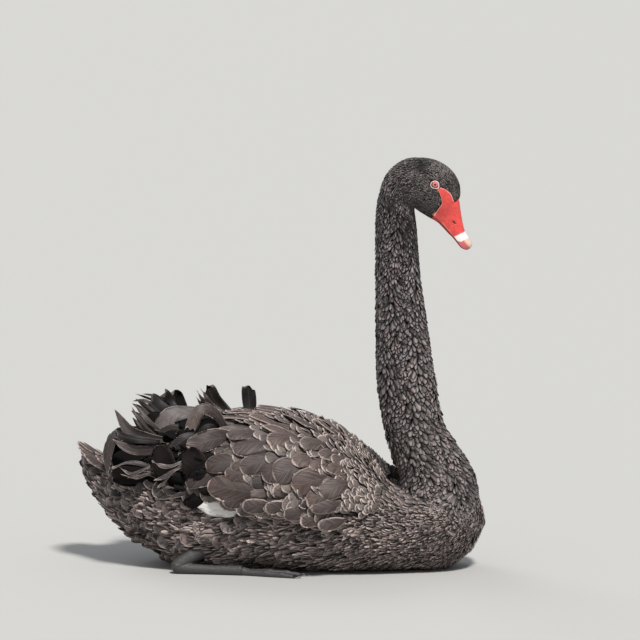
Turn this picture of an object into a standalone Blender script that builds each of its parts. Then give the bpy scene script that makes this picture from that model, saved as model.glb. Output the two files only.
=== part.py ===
"""A black swan at rest on its belly, life size, as a still display model.

Metres, +Z up, +X towards the breast, +Y to the bird's left. The origin is on the floor, under the
middle of the body, in the middle of the flat of the belly.
"""

import math
import random

import bmesh
import bpy
import numpy as np

# Driving sizes
GAP = 0.0003                # clearance that touching pieces keep
DRAFT = 0.065               # depth of the body that would lie under water
TORSO_REAR = -0.190         # where the tail piece begins
TORSO_FRONT = 0.288         # foremost point of the breast
RING_POINTS = 24            # points round the body
WING_TOP_ANGLE = 3.5        # degrees from the middle of the back to the wing's upper edge
WING_FRONT = 0.165          # wrist of the folded wing
WING_REAR = -0.175
WING_EDGE = 0.0030          # thickness of the folded wing at its rim
WING_SWELL = 0.0150         # what its middle adds to that
NECK_CUT = 0.158            # height at which the neck leaves the torso
HEAD_TURN = math.radians(-6)    # the head looks a little to the right
EYE_RADIUS = 0.0058
BILL_RIDGE = 0.62           # how sharp the ridge of the bill is

BLACK_PLUMAGE = (0.040, 0.035, 0.034)
BROWN_PLUMAGE = (0.085, 0.074, 0.068)
RED_BILL = (0.62, 0.045, 0.035)
WHITE_QUILL = (0.80, 0.78, 0.76)
RED_EYE = (0.45, 0.03, 0.025)
FOOT_SKIN = (0.035, 0.034, 0.036)


# Sections of the body: place along X, bottom, top, half width, height of the widest line
HULL = np.array([
    (-0.235, 0.062, 0.150, 0.060, 0.108),
    (-0.190, 0.030, 0.176, 0.088, 0.106),
    (-0.140, 0.002, 0.193, 0.108, 0.104),
    (-0.080, -0.006, 0.205, 0.124, 0.101),
    (-0.010, -0.008, 0.210, 0.131, 0.099),
    (0.060, -0.008, 0.194, 0.130, 0.096),
    (0.120, -0.007, 0.157, 0.119, 0.090),
    (0.160, -0.005, 0.128, 0.107, 0.083),
    (0.205, -0.002, 0.112, 0.089, 0.075),
    (0.245, 0.007, 0.106, 0.068, 0.068),
    (0.272, 0.022, 0.099, 0.047, 0.066),
    (0.288, 0.043, 0.086, 0.020, 0.066),
])

# Sections of the neck, from inside the breast to the nape: rear and front of each section as
# (x, z), then its half width. A section leans as the neck does.
NECK = np.array([
    (0.190, 0.036, 0.268, 0.036, 0.040),
    (0.176, 0.066, 0.2895, 0.064, 0.062),
    (0.178, 0.086, 0.2935, 0.084, 0.064),
    (0.184, 0.108, 0.2940, 0.106, 0.058),
    (0.180, 0.132, 0.2905, 0.134, 0.050),
    (0.171, 0.158, 0.2790, 0.158, 0.0455),
    (0.164, 0.182, 0.2620, 0.182, 0.0420),
    (0.158, 0.208, 0.2465, 0.206, 0.0390),
    (0.1525, 0.240, 0.2385, 0.238, 0.0370),
    (0.1485, 0.275, 0.2325, 0.275, 0.0355),
    (0.1465, 0.315, 0.2255, 0.315, 0.0335),
    (0.1460, 0.360, 0.2190, 0.360, 0.0310),
    (0.1460, 0.405, 0.2125, 0.405, 0.0285),
    (0.1455, 0.450, 0.2075, 0.450, 0.0268),
    (0.1455, 0.490, 0.2045, 0.488, 0.0255),
    (0.1465, 0.517, 0.2023, 0.511, 0.0250),
])
NECK_STUB_END = 5           # the section at NECK_CUT
NECK_MIDDLE = 10            # where the lower neck meets the upper neck

# Sections of the head, from the nape to the base of the bill, as those of the neck
HEAD = np.array([
    (0.1465, 0.5170, 0.2023, 0.5110, 0.0250),
    (0.1508, 0.5450, 0.2012, 0.5215, 0.0256),
    (0.1575, 0.5670, 0.2018, 0.5250, 0.0262),
    (0.1700, 0.5840, 0.2030, 0.5255, 0.0268),
    (0.1887, 0.5955, 0.2060, 0.5238, 0.0273),
    (0.2085, 0.5982, 0.2105, 0.5205, 0.0276),
    (0.2300, 0.5960, 0.2175, 0.5165, 0.0274),
    (0.2480, 0.5875, 0.2240, 0.5125, 0.0256),
    (0.2600, 0.5765, 0.2290, 0.5100, 0.0226),
    (0.2670, 0.5640, 0.2335, 0.5080, 0.0192),
    (0.2692, 0.5520, 0.2380, 0.5062, 0.0164),
    (0.2680, 0.5420, 0.2420, 0.5050, 0.0143),
])
HEAD_AXIS = (0.175, 0.0)    # the upright line that the head is turned about
EYE_PLACE = (0.2384, 0.5637)

# Sections of the upper bill: culmen and edge of the mouth as (x, z), then half width
UPPER_BILL = np.array([
    (0.2580, 0.5490, 0.2290, 0.5190, 0.0115),
    (0.2676, 0.5394, 0.2347, 0.5137, 0.0128),
    (0.2697, 0.5270, 0.2420, 0.5085, 0.0128),
    (0.2714, 0.5150, 0.2486, 0.5015, 0.0125),
    (0.2738, 0.5025, 0.2560, 0.4930, 0.0120),
    (0.2768, 0.4925, 0.2632, 0.4855, 0.0118),
    (0.2812, 0.4855, 0.2688, 0.4780, 0.0113),
    (0.2850, 0.4803, 0.2738, 0.4715, 0.0100),
    (0.2872, 0.4755, 0.2790, 0.4682, 0.0075),
    (0.2866, 0.4712, 0.2828, 0.4672, 0.0040),
])
LOWER_BILL_DEPTH = (0.0064, 0.0060, 0.0053, 0.0045, 0.0038, 0.0030, 0.0020)

# Outline of the bare skin between the bill and the eye, as (x, z)
LORE = (
    (0.2440, 0.5560), (0.2535, 0.5572), (0.2600, 0.5500), (0.2640, 0.5400),
    (0.2520, 0.5220), (0.2400, 0.5150), (0.2385, 0.5215), (0.2420, 0.5285), (0.2468, 0.5370),
    (0.2460, 0.5470),
)
LORE_CENTRE = (0.2515, 0.5375)


def curve_through(rows, places):
    """Values of a table whose first column is the place, by cubic Hermite between its rows."""
    t = rows[:, 0]
    v = rows[:, 1:]
    slope = np.gradient(v, t, axis=0)
    i = np.clip(np.searchsorted(t, places, side="right") - 1, 0, len(t) - 2)
    h = (t[i + 1] - t[i])[:, None]
    u = ((places - t[i])[:, None] / h).clip(0, 1)
    return (
        (2 * u**3 - 3 * u**2 + 1) * v[i]
        + (u**3 - 2 * u**2 + u) * h * slope[i]
        + (3 * u**2 - 2 * u**3) * v[i + 1]
        + (u**3 - u**2) * h * slope[i + 1]
    )


def between(rows, first, last, count):
    """Rows of a table of sections at even steps from one section to another."""
    numbered = np.column_stack([np.arange(len(rows), dtype=float), rows])
    return curve_through(numbered, np.linspace(first, last, count))


def unit(v):
    return v / np.linalg.norm(v, axis=-1, keepdims=True)


# The surface of the body
def hull_point(x, angle):
    """The body at a place along X and an angle in degrees from the middle of the back."""
    x = np.asarray(x, float)
    a = np.radians(np.asarray(angle, float))
    bottom, top, half, widest = curve_through(HULL, x.ravel()).T.reshape(4, *x.shape)
    up = np.cos(a)
    y = half * np.sign(np.sin(a)) * np.abs(np.sin(a)) ** 0.92
    rise = np.sign(up) * np.abs(up) ** 0.96
    z = widest + np.where(up > 0, (top - widest) * rise, (widest - bottom) * rise)
    return np.stack([x, y, z], axis=-1)


def hull_frame(x, angle):
    """Point, outward normal, and the way along the surface towards the tail."""
    x = np.asarray(x, float)
    angle = np.asarray(angle, float)
    along = unit(hull_point(x - 0.004, angle) - hull_point(x + 0.004, angle))
    round_it = unit(hull_point(x, angle + 1.5) - hull_point(x, angle - 1.5))
    return hull_point(x, angle), unit(np.cross(round_it, along)), along


def off_hull(x, angle, lift):
    point, normal, _ = hull_frame(x, angle)
    return point + normal * np.asarray(lift)[..., None]


# Meshes
def mesh_object(name, points, faces):
    """A closed mesh with its faces turned outwards."""
    mesh = bpy.data.meshes.new(name)
    mesh.from_pydata([tuple(p) for p in points], [], [tuple(int(i) for i in f) for f in faces])
    work = bmesh.new()
    work.from_mesh(mesh)
    bmesh.ops.recalc_face_normals(work, faces=work.faces)
    if work.calc_volume(signed=True) < 0:
        bmesh.ops.reverse_faces(work, faces=work.faces)
    work.to_mesh(mesh)
    work.free()
    made = bpy.data.objects.new(name, mesh)
    bpy.context.scene.collection.objects.link(made)
    return made


def points_of(made):
    return np.array([v.co[:] for v in made.data.vertices])


def loft(name, rings):
    """A closed skin over rings of equal length, each end closed by its flat ring."""
    rings = np.asarray(rings)
    count, m = rings.shape[:2]
    faces = []
    for i in range(count - 1):
        for j in range(m):
            a, b = i * m + j, i * m + (j + 1) % m
            faces += [(a, b, b + m), (a, b + m, a + m)]
    faces.append(tuple(range(m - 1, -1, -1)))
    faces.append(tuple(range((count - 1) * m, count * m)))
    return mesh_object(name, rings.reshape(-1, 3), faces)


def ball(name, centre, radii, segments=14, rings=8):
    """An ellipsoid with its poles along Y."""
    around = np.linspace(0, 2 * math.pi, segments, endpoint=False)
    down = np.linspace(0, math.pi, rings + 1)[1:-1]
    points = [(0, 1, 0)]
    for d in down:
        points += [(math.sin(d) * math.cos(a), math.cos(d), math.sin(d) * math.sin(a)) for a in around]
    points.append((0, -1, 0))
    last = len(points) - 1
    faces = []
    for j in range(segments):
        k = (j + 1) % segments
        faces.append((0, 1 + j, 1 + k))
        faces.append((last, last - segments + k, last - segments + j))
        for i in range(rings - 2):
            a, b = 1 + i * segments, 1 + (i + 1) * segments
            faces.append((a + j, b + j, b + k, a + k))
    return mesh_object(name, np.array(points) * np.array(radii) + np.array(centre), faces)


def grown(made, amount=GAP):
    """A cutter: the same shape with every face moved outwards by the amount."""
    mesh = made.data
    points = points_of(made)
    normals = np.array([v.normal[:] for v in mesh.vertices])
    least = np.ones(len(points))
    for face in mesh.polygons:
        for v in face.vertices:
            least[v] = min(least[v], float(np.dot(normals[v], face.normal)))
    points = points + normals * (amount / np.maximum(least, 0.35))[:, None]
    return mesh_object("cutter", points, [tuple(p.vertices) for p in mesh.polygons])


def material(name, colour, roughness):
    made = bpy.data.materials.get(name) or bpy.data.materials.new(name)
    made.use_nodes = True
    shader = made.node_tree.nodes["Principled BSDF"]
    shader.inputs["Base Color"].default_value = (*colour, 1.0)
    shader.inputs["Roughness"].default_value = roughness
    shader.inputs["Metallic"].default_value = 0.0
    return made


def finish(made, colour_name, colour, roughness):
    made.data.materials.clear()
    made.data.materials.append(material(colour_name, colour, roughness))
    made.data.shade_smooth()
    made.data.set_sharp_from_angle(angle=math.radians(40))
    return made


def largest_closed_surface(points, faces):
    """The faces of the connected surface that encloses most, with its own points."""
    parent = list(range(len(points)))

    def root(i):
        while parent[i] != i:
            parent[i] = parent[parent[i]]
            i = parent[i]
        return i

    for f in faces:
        for v in f[1:]:
            parent[root(f[0])] = root(v)
    groups = {}
    for f in faces:
        groups.setdefault(root(f[0]), []).append(f)

    def encloses(group):
        total = 0.0
        for f in group:
            for k in range(1, len(f) - 1):
                total += np.dot(points[f[0]], np.cross(points[f[k]], points[f[k + 1]]))
        return total

    kept = max(groups.values(), key=encloses)
    used = sorted({v for f in kept for v in f})
    place = {v: i for i, v in enumerate(used)}
    return points[used], [tuple(place[v] for v in f) for f in kept]


def applied(name, base, modifier_setup):
    """The base with one Boolean applied, as a new object, reduced to its largest surface."""
    modifier = base.modifiers.new("join", "BOOLEAN")
    modifier_setup(modifier)
    graph = bpy.context.evaluated_depsgraph_get()
    result = bpy.data.meshes.new_from_object(base.evaluated_get(graph))
    points = np.array([v.co[:] for v in result.vertices])
    faces = [tuple(p.vertices) for p in result.polygons]
    bpy.data.objects.remove(base)
    return mesh_object(name, *largest_closed_surface(points, faces))


def fused(name, pieces):
    """One closed body from pieces that overlap."""
    base, rest = pieces[0], pieces[1:]
    joined = bpy.data.collections.new(name + "_pieces")
    bpy.context.scene.collection.children.link(joined)
    for piece in rest:
        joined.objects.link(piece)

    def set_up(modifier):
        modifier.operation = "UNION"
        modifier.operand_type = "COLLECTION"
        modifier.collection = joined
        modifier.solver = "MANIFOLD"

    made = applied(name, base, set_up)
    for piece in list(joined.objects):
        bpy.data.objects.remove(piece)
    bpy.data.collections.remove(joined)
    return made


def less(made, cutter):
    """The body with the cutter's shape taken out of it, and the cutter removed."""

    def set_up(modifier):
        modifier.operation = "DIFFERENCE"
        modifier.object = cutter
        modifier.solver = "MANIFOLD"

    name = made.name
    made.name = name + "_whole"
    result = applied(name, made, set_up)
    bpy.data.objects.remove(cutter)
    return result


# Round sections that stand across a bent path
def section_rings(rows, points=18, grow=0.0, squareness=1.0):
    """Rings of the sections of the neck or head: rear edge, front edge and half width."""
    rear, front, half = rows[:, 0:2], rows[:, 2:4], rows[:, 4]
    middle, reach = (rear + front) / 2, (front - rear) / 2
    size = np.linalg.norm(reach, axis=1, keepdims=True)
    reach = reach * (1 + grow / size)
    a = np.linspace(0, 2 * math.pi, points, endpoint=False)
    c = np.sign(np.cos(a)) * np.abs(np.cos(a)) ** squareness
    s = np.sign(np.sin(a)) * np.abs(np.sin(a)) ** squareness
    rings = np.empty((len(rows), points, 3))
    rings[:, :, 0] = middle[:, :1] + reach[:, :1] * c
    rings[:, :, 2] = middle[:, 1:] + reach[:, 1:] * c
    rings[:, :, 1] = (half + grow)[:, None] * s
    return rings


def turned(points, amount=1.0):
    """Points of the head, turned about the upright line through the nape."""
    a = HEAD_TURN * np.asarray(amount)
    x, y = points[..., 0] - HEAD_AXIS[0], points[..., 1] - HEAD_AXIS[1]
    out = points.copy()
    out[..., 0] = HEAD_AXIS[0] + x * np.cos(a) - y * np.sin(a)
    out[..., 1] = HEAD_AXIS[1] + x * np.sin(a) + y * np.cos(a)
    return out


# Feather vanes
VANE_PLACES = np.array([0.0, 0.34, 0.68, 0.90, 1.0])
VANE_WIDTHS = np.array([0.42, 0.88, 1.0, 0.74, 0.22])
SHORT_PLACES = np.array([0.0, 0.50, 0.86, 1.0])


def vane(name, spine, side, normal, width, thickness=0.0011, camber=0.10, steps=VANE_PLACES):
    """A feather: a thin cambered plate along a spine, rounded at its tip.

    Each station has a left edge, a raised shaft line and a right edge, on both faces.
    """
    half = np.interp(steps, VANE_PLACES, VANE_WIDTHS)[:, None] * width / 2
    rise = normal * half * camber * 2
    thin = np.linspace(1.0, 0.65, len(spine))[:, None] * thickness
    top = np.stack([spine - side * half, spine + rise, spine + side * half], axis=1)
    down = normal[:, None, :] * np.stack([thin * 0.7, thin, thin * 0.7], axis=1)
    n = len(spine)
    points = np.concatenate([top.reshape(-1, 3), (top - down).reshape(-1, 3)])
    under = 3 * n
    faces = []
    for i in range(n - 1):
        for j in range(2):
            a, b, c, d = 3 * i + j, 3 * i + j + 1, 3 * i + j + 4, 3 * i + j + 3
            faces += [(a, b, c), (a, c, d)]
            faces += [(a + under, c + under, b + under), (a + under, d + under, c + under)]
        for j in (0, 2):
            a, b = 3 * i + j, 3 * i + j + 3
            faces += [(a, b, b + under), (a, b + under, a + under)]
    for i in (0, 3 * (n - 1)):
        for j in range(2):
            a, b = i + j, i + j + 1
            faces += [(a, b, b + under), (a, b + under, a + under)]
    return mesh_object(name, points, faces)


def laid_spine(x, angle, length, sink, rise, drop=0.0, steps=SHORT_PLACES):
    """A spine that follows the body towards the tail.

    It starts sink deep under the wing's own surface and ends rise above the body; drop is how many
    degrees round the body it turns on its way.
    """
    places = x - length * steps
    angles = angle + drop * steps
    start = wing_thickness(x, angle) - sink
    lift = start + (rise - start) * steps**0.8
    spine = off_hull(places, angles, lift)
    _, normal, _ = hull_frame(places, angles)
    heading = unit(np.gradient(spine, axis=0))
    side = unit(np.cross(heading, normal))
    return spine, side, unit(np.cross(side, heading))


def curled_spine(start, heading, normal, length, curl, twist, steps=VANE_PLACES):
    """A spine that leaves the wing and bends towards its outer face.

    Curl and twist are the whole turn in degrees, most of it near the tip.
    """
    heading, normal = unit(heading), unit(normal - heading * np.dot(normal, heading))
    side = np.cross(heading, normal)
    spine, sides, normals = [start], [side], [normal]
    for before, here in zip(steps[:-1], steps[1:]):
        share = here**1.6 - before**1.6
        bend, roll = math.radians(curl) * share, math.radians(twist) * share
        heading, normal = (
            heading * math.cos(bend) + normal * math.sin(bend),
            normal * math.cos(bend) - heading * math.sin(bend),
        )
        side, normal = (
            side * math.cos(roll) + normal * math.sin(roll),
            normal * math.cos(roll) - side * math.sin(roll),
        )
        spine.append(spine[-1] + heading * length * (here - before))
        sides.append(side)
        normals.append(normal)
    return np.array(spine), np.array(sides), np.array(normals)


# Torso
def torso_rings(first, last, count, grow=0.0):
    x = np.linspace(first, last, count)
    angles = np.arange(RING_POINTS) * 360.0 / RING_POINTS
    rings = hull_point(*np.meshgrid(x, angles, indexing="ij"))
    if grow:
        centre = rings.mean(axis=1, keepdims=True)
        rings = rings + unit(rings - centre) * grow
    rings[..., 2] = np.maximum(rings[..., 2], 0.0)
    return rings


def make_torso():
    """Trunk and breast, flat where the belly rests, with the root of the neck."""
    trunk = loft("trunk", torso_rings(TORSO_REAR, TORSO_FRONT, 16))
    root = loft("root", section_rings(between(NECK, 0, NECK_STUB_END, 7), 18))
    return finish(fused("torso", [trunk, root]), "brown_plumage", BROWN_PLUMAGE, 0.8)


def make_neck():
    """Lower and upper neck, cut across where they meet the breast, each other and the head."""
    lower = between(NECK, NECK_STUB_END, NECK_MIDDLE, 8)
    upper = between(NECK, NECK_MIDDLE, len(NECK) - 1, 7)
    for name, rows in (("neck_lower", lower), ("neck_upper", upper)):
        rings = section_rings(rows, 18)
        rings[0, :, 2] += GAP
        finish(loft(name, rings), "black_plumage", BLACK_PLUMAGE, 0.85)


# Wings
def wing_thickness(x, angle):
    """Depth of the folded wing over the body: a rim, swelling to its middle."""
    u = np.clip((WING_FRONT - x) / (WING_FRONT - WING_REAR), 0, 1)
    v = np.clip((angle - WING_TOP_ANGLE) / (wing_bottom(x) - WING_TOP_ANGLE), 0, 1)
    swell = np.sin(math.pi * u**0.7) ** 0.6 * np.sin(math.pi * (0.12 + 0.76 * v)) ** 0.7
    return WING_EDGE + WING_SWELL * np.nan_to_num(swell)


def wing_bottom(x):
    """Angle of the wing's lower edge, which rises towards the wrist and the tail."""
    return np.interp(x, (-0.175, -0.120, -0.100, -0.045, 0.060, 0.165), (66, 79, 86, 92, 92, 76))


def wing_core(name):
    """The folded wing's own body, a shell over the trunk with a clear joint under it."""
    x = np.linspace(WING_FRONT, WING_REAR, 13)
    v = np.linspace(0, 1, 9)
    angles = WING_TOP_ANGLE + (wing_bottom(x)[:, None] - WING_TOP_ANGLE) * v
    places = np.repeat(x[:, None], len(v), axis=1)
    outer = off_hull(places, angles, wing_thickness(places, angles))
    inner = off_hull(places, angles, np.zeros(places.shape))
    n, m = places.shape
    points = np.concatenate([outer.reshape(-1, 3), inner.reshape(-1, 3)])
    faces = []
    for i in range(n - 1):
        for j in range(m - 1):
            a, b, c, d = i * m + j, i * m + j + 1, (i + 1) * m + j + 1, (i + 1) * m + j
            faces += [(a, b, c), (a, c, d)]
            a, b, c, d = (k + n * m for k in (a, b, c, d))
            faces += [(a, c, b), (a, d, c)]
    rim = [i * m for i in range(n)] + [(n - 1) * m + j for j in range(1, m)]
    rim += [i * m + m - 1 for i in range(n - 2, -1, -1)] + list(range(m - 2, 0, -1))
    for a, b in zip(rim, rim[1:] + rim[:1]):
        faces += [(a, b, b + n * m), (a, b + n * m, a + n * m)]
    return mesh_object(name, points, faces)


# Tiers of laid feathers on each wing: root along X, first and last angle, how many, length, width,
# height of the tip over the body, and how far round the body each one turns on its way
LAID_TIERS = (
    (0.092, 17, 70, 4, 0.082, 0.050, 0.0205, 3),
    (0.040, 17, 79, 4, 0.092, 0.058, 0.0235, 3),
    (-0.012, 16, 79, 4, 0.095, 0.060, 0.0265, 2),
    (-0.058, 14, 72, 4, 0.090, 0.056, 0.0285, 0),
)


def laid_feathers(rng):
    made = []
    for tier, (x, first, last, count, length, width, rise, drop) in enumerate(LAID_TIERS):
        for i, angle in enumerate(np.linspace(first, last, count)):
            spine = laid_spine(
                x + rng.uniform(-0.006, 0.006),
                angle,
                length * rng.uniform(0.94, 1.06),
                0.006,
                rise + 0.0016 * (i % 2),
                drop,
            )
            wide = width * rng.uniform(0.94, 1.06)
            made.append(vane(f"laid_{tier}_{i}", *spine, wide, steps=SHORT_PLACES))
    return made


# Curled feathers at the rear of each wing: root along X, angle, length, width, how far the vane
# leans out from the body, its whole curl and twist, all in degrees, and how much it curls upwards
# rather than outwards
CURLED = (
    (-0.012, 12, 0.056, 0.024, 24, 72, 8, 0.0),
    (-0.060, 11, 0.062, 0.032, 20, 70, 12, 0.0),
    (-0.100, 13, 0.076, 0.038, 16, 60, -14, 0.0),
    (-0.135, 15, 0.095, 0.034, 14, 34, 10, 0.0),
    (-0.085, 31, 0.086, 0.046, 12, 64, 16, 0.5),
    (-0.118, 33, 0.100, 0.046, 12, 54, -16, 0.5),
    (-0.148, 34, 0.104, 0.042, 12, 40, 14, 0.5),
    (-0.092, 51, 0.100, 0.048, 10, 62, 20, 0.7),
    (-0.136, 50, 0.106, 0.044, 12, 56, -18, 0.7),
    (-0.086, 69, 0.098, 0.044, 9, 50, 18, 0.8),
    (-0.128, 64, 0.112, 0.042, 11, 54, -14, 0.8),
)


def curled_feathers(rng):
    made = []
    for i, (x, angle, length, width, lean, curl, twist, lift) in enumerate(CURLED):
        point, normal, along = hull_frame(x, angle)
        lean = math.radians(lean + rng.uniform(-2, 2))
        start = point + normal * (wing_thickness(x, angle) - 0.006)
        heading = along * math.cos(lean) + normal * math.sin(lean)
        normal = unit(normal + np.array([0, 0, lift]))
        length = length * rng.uniform(0.95, 1.05)
        spine = curled_spine(start, heading, normal, length, curl + rng.uniform(-6, 6), twist)
        made.append(vane(f"curled_{i}", *spine, width, thickness=0.0012))
    return made


def mirrored(made):
    """The same object on the other side of the bird."""
    for v in made.data.vertices:
        v.co.y = -v.co.y
    made.data.flip_normals()
    return made


def make_wing(side, seed, torso):
    """A folded wing: its shell, tiers of laid feathers and the curled ones behind them."""
    rng = random.Random(seed)
    pieces = [wing_core("core")] + laid_feathers(rng) + curled_feathers(rng)
    if side == "right":
        pieces = [mirrored(piece) for piece in pieces]
    wing = less(fused(f"wing_{side}", pieces), grown(torso))
    return finish(wing, "black_plumage", BLACK_PLUMAGE, 0.85)


# Tail: sections of the stern as the lower and upper edge (x, z), then half width
STERN = np.array([
    (-0.1903, 0.0300, -0.1903, 0.1760, 0.0880),
    (-0.2120, 0.0410, -0.2060, 0.1680, 0.0760),
    (-0.2330, 0.0590, -0.2220, 0.1610, 0.0620),
    (-0.2500, 0.0780, -0.2360, 0.1560, 0.0490),
    (-0.2640, 0.0970, -0.2490, 0.1530, 0.0370),
    (-0.2770, 0.1190, -0.2640, 0.1545, 0.0250),
    (-0.2840, 0.1380, -0.2750, 0.1590, 0.0150),
])
RECTRICES = 7
TAIL_ROOT = (-0.222, 0.128)
TAIL_PITCH = math.radians(29)


def make_tail():
    """The stern with its coverts, and the short tail held up behind it."""
    rows = between(STERN, 0, len(STERN) - 1, 8)
    angles = np.radians(np.arange(RING_POINTS) * 360.0 / RING_POINTS)
    rings = []
    for row in rows:
        lower, upper, half = row[0:2], row[2:4], row[4]
        rise = np.sign(np.cos(angles)) * np.abs(np.cos(angles)) ** 0.96
        share = 0.52 + np.where(rise > 0, 0.48, 0.52) * rise
        ring = np.empty((RING_POINTS, 3))
        ring[:, 0] = lower[0] + (upper[0] - lower[0]) * share
        ring[:, 2] = lower[1] + (upper[1] - lower[1]) * share
        ring[:, 1] = half * np.sign(np.sin(angles)) * np.abs(np.sin(angles)) ** 0.92
        rings.append(ring)
    pieces = [loft("stern", rings)]
    for i in range(RECTRICES):
        share = i / (RECTRICES - 1) * 2 - 1
        spread = math.radians(24) * share
        length = 0.083 - 0.022 * abs(share) ** 1.5
        pitch = TAIL_PITCH - math.radians(7) * abs(share)
        heading = np.array([
            -math.cos(pitch) * math.cos(spread),
            math.cos(pitch) * math.sin(spread),
            math.sin(pitch),
        ])
        normal = np.array([math.sin(pitch), 0.25 * share, math.cos(pitch)])
        start = np.array([TAIL_ROOT[0], 0.018 * share, TAIL_ROOT[1] + 0.0016 * (i % 2)])
        spine = curled_spine(start, heading, normal, length, 8, 0)
        pieces.append(vane(f"rectrix_{i}", *spine, 0.029))
    finish(fused("tail", pieces), "brown_plumage", BROWN_PLUMAGE, 0.8)


# Head, bill and eyes
def head_half_width(x, z):
    """Half width of the head where a line across it passes through (x, z)."""
    nearest, best = 1.0, 0.0
    for row in between(HEAD, 2, len(HEAD) - 1, 120):
        rear, front = row[0:2], row[2:4]
        reach = (front - rear) / 2
        offset = np.array([x, z]) - (rear + front) / 2
        share = np.dot(offset, reach) / np.dot(reach, reach)
        miss = np.linalg.norm(offset - share * reach)
        if miss < nearest and abs(share) < 1:
            nearest, best = miss, row[4] * math.sqrt(1 - share * share)
    return best


def eye_centre(sign, out):
    x, z = EYE_PLACE
    return np.array([x, sign * (head_half_width(x, z) + out), z])


def make_eye(side):
    sign = 1 if side == "left" else -1
    return ball(f"eye_{side}", turned(eye_centre(sign, -0.0032)), (EYE_RADIUS,) * 3)


def lid_ring(sign):
    """The fleshy ring of the lids round the eye."""
    count = 14
    around = np.linspace(0, 2 * math.pi, count, endpoint=False)
    across = np.linspace(0, 2 * math.pi, 6, endpoint=False)
    reach = 0.0053 + 0.0013 * np.cos(across)
    a, r = np.meshgrid(around, reach, indexing="ij")
    out = np.broadcast_to(0.0013 * np.sin(across), a.shape)
    points = np.stack([r * np.cos(a), out, r * np.sin(a)], axis=-1).reshape(-1, 3)
    faces = []
    for i in range(count):
        for j in range(6):
            k, m = (i + 1) % count, (j + 1) % 6
            faces.append((i * 6 + j, k * 6 + j, k * 6 + m, i * 6 + m))
    return mesh_object("lids", turned(points + eye_centre(sign, -0.0006)), faces)


def upper_bill_rings(rows, points=9):
    """Sections of the upper bill: a flat palate under a rounded ridge."""
    a = np.linspace(0, math.pi, points)
    rings = []
    for row in rows:
        rise = np.sin(a) ** BILL_RIDGE
        ring = np.empty((points, 3))
        ring[:, 0] = row[2] + (row[0] - row[2]) * rise
        ring[:, 2] = row[3] + (row[1] - row[3]) * rise
        ring[:, 1] = row[4] * np.cos(a)
        rings.append(ring)
    return np.array(rings)


def lore(sign, out=0.0006):
    """Bare skin from the side of the bill up to the eye, a wedge set into the head."""
    n = len(LORE)
    centre = np.array(LORE_CENTRE)
    outline = np.array(LORE)
    loops = [outline, centre + (outline - centre) * 0.5, centre[None, :]]
    flat = np.concatenate(loops)
    points = []
    for share, rise in ((0.35, 0.0), (1.0, out)):
        for x, z in flat:
            points.append((x, sign * (head_half_width(x, z) * share + rise), z))
    faces = []
    side = len(flat)
    for i in range(n):
        j = (i + 1) % n
        for k in (0, side):
            faces += [(i + k, j + k, j + n + k), (i + k, j + n + k, i + n + k)]
            faces.append((i + n + k, j + n + k, 2 * n + k))
        faces += [(i, j, j + side), (i, j + side, i + side)]
    return mesh_object("lore", turned(np.array(points)), faces)


def nostril(sign):
    """A slit in the side of the bill."""
    slit = ball("cutter", (0, 0, 0), (0.0046, 0.0035, 0.0013), 10, 6)
    lean = math.radians(-56)
    for v in slit.data.vertices:
        x, y, z = v.co
        x, z = x * math.cos(lean) - z * math.sin(lean), x * math.sin(lean) + z * math.cos(lean)
        v.co = turned(np.array([x + 0.2650, y + sign * 0.0108, z + 0.5075]))
    return slit


def bill_pieces(out=0.0006):
    rows = between(UPPER_BILL, 0, len(UPPER_BILL) - 1, 13)
    return [loft("bill", turned(upper_bill_rings(rows))), lore(1, out), lore(-1, out)]


def make_lower_bill():
    """The lower jaw, a shallow trough just inside the edge of the upper one."""
    rows = between(UPPER_BILL, 0, len(UPPER_BILL) - 1.4, 8)
    depth = np.interp(np.linspace(0, 1, 8), np.linspace(0, 1, 7), LOWER_BILL_DEPTH)
    a = np.linspace(0, math.pi, 7)
    rings = []
    for row, deep in zip(rows, depth):
        up = unit(row[0:2] - row[2:4])
        edge = row[2:4] + up * 0.0002
        drop = np.sin(a) ** 0.7 * deep
        ring = np.empty((len(a), 3))
        ring[:, 0] = edge[0] - up[0] * drop
        ring[:, 2] = edge[1] - up[1] * drop
        ring[:, 1] = (row[4] - 0.0010) * np.cos(a)
        rings.append(ring)
    return loft("bill_lower", turned(np.array(rings)))


def make_head():
    """The feathered head with its lids, cut clear of the bill and the eyes."""
    share = np.clip(np.linspace(0, 1, 15) * 3.0, 0, 1)
    rings = section_rings(between(HEAD, 0, len(HEAD) - 1, 15), 18)
    rings[0, :, 2] += GAP
    skull = loft("skull", turned(rings, share[:, None]))
    pieces = bill_pieces()
    room = bill_pieces(0.0040)
    cutters = [grown(piece) for piece in room]
    for piece in room:
        bpy.data.objects.remove(piece)
    lower = less(make_lower_bill(), grown(pieces[0]))
    upper = fused("bill_upper", pieces)
    for sign in (1, -1):
        upper = less(upper, nostril(sign))
    eyes = [make_eye("left"), make_eye("right")]
    head = fused("head", [skull, lid_ring(1), lid_ring(-1)])
    for cutter in cutters + [grown(piece) for piece in [lower] + eyes]:
        head = less(head, cutter)
    finish(head, "black_plumage", BLACK_PLUMAGE, 0.85)
    finish(upper, "red_bill", RED_BILL, 0.4)
    finish(lower, "red_bill", RED_BILL, 0.4)
    for eye in eyes:
        finish(eye, "red_eye", RED_EYE, 0.15)


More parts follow.
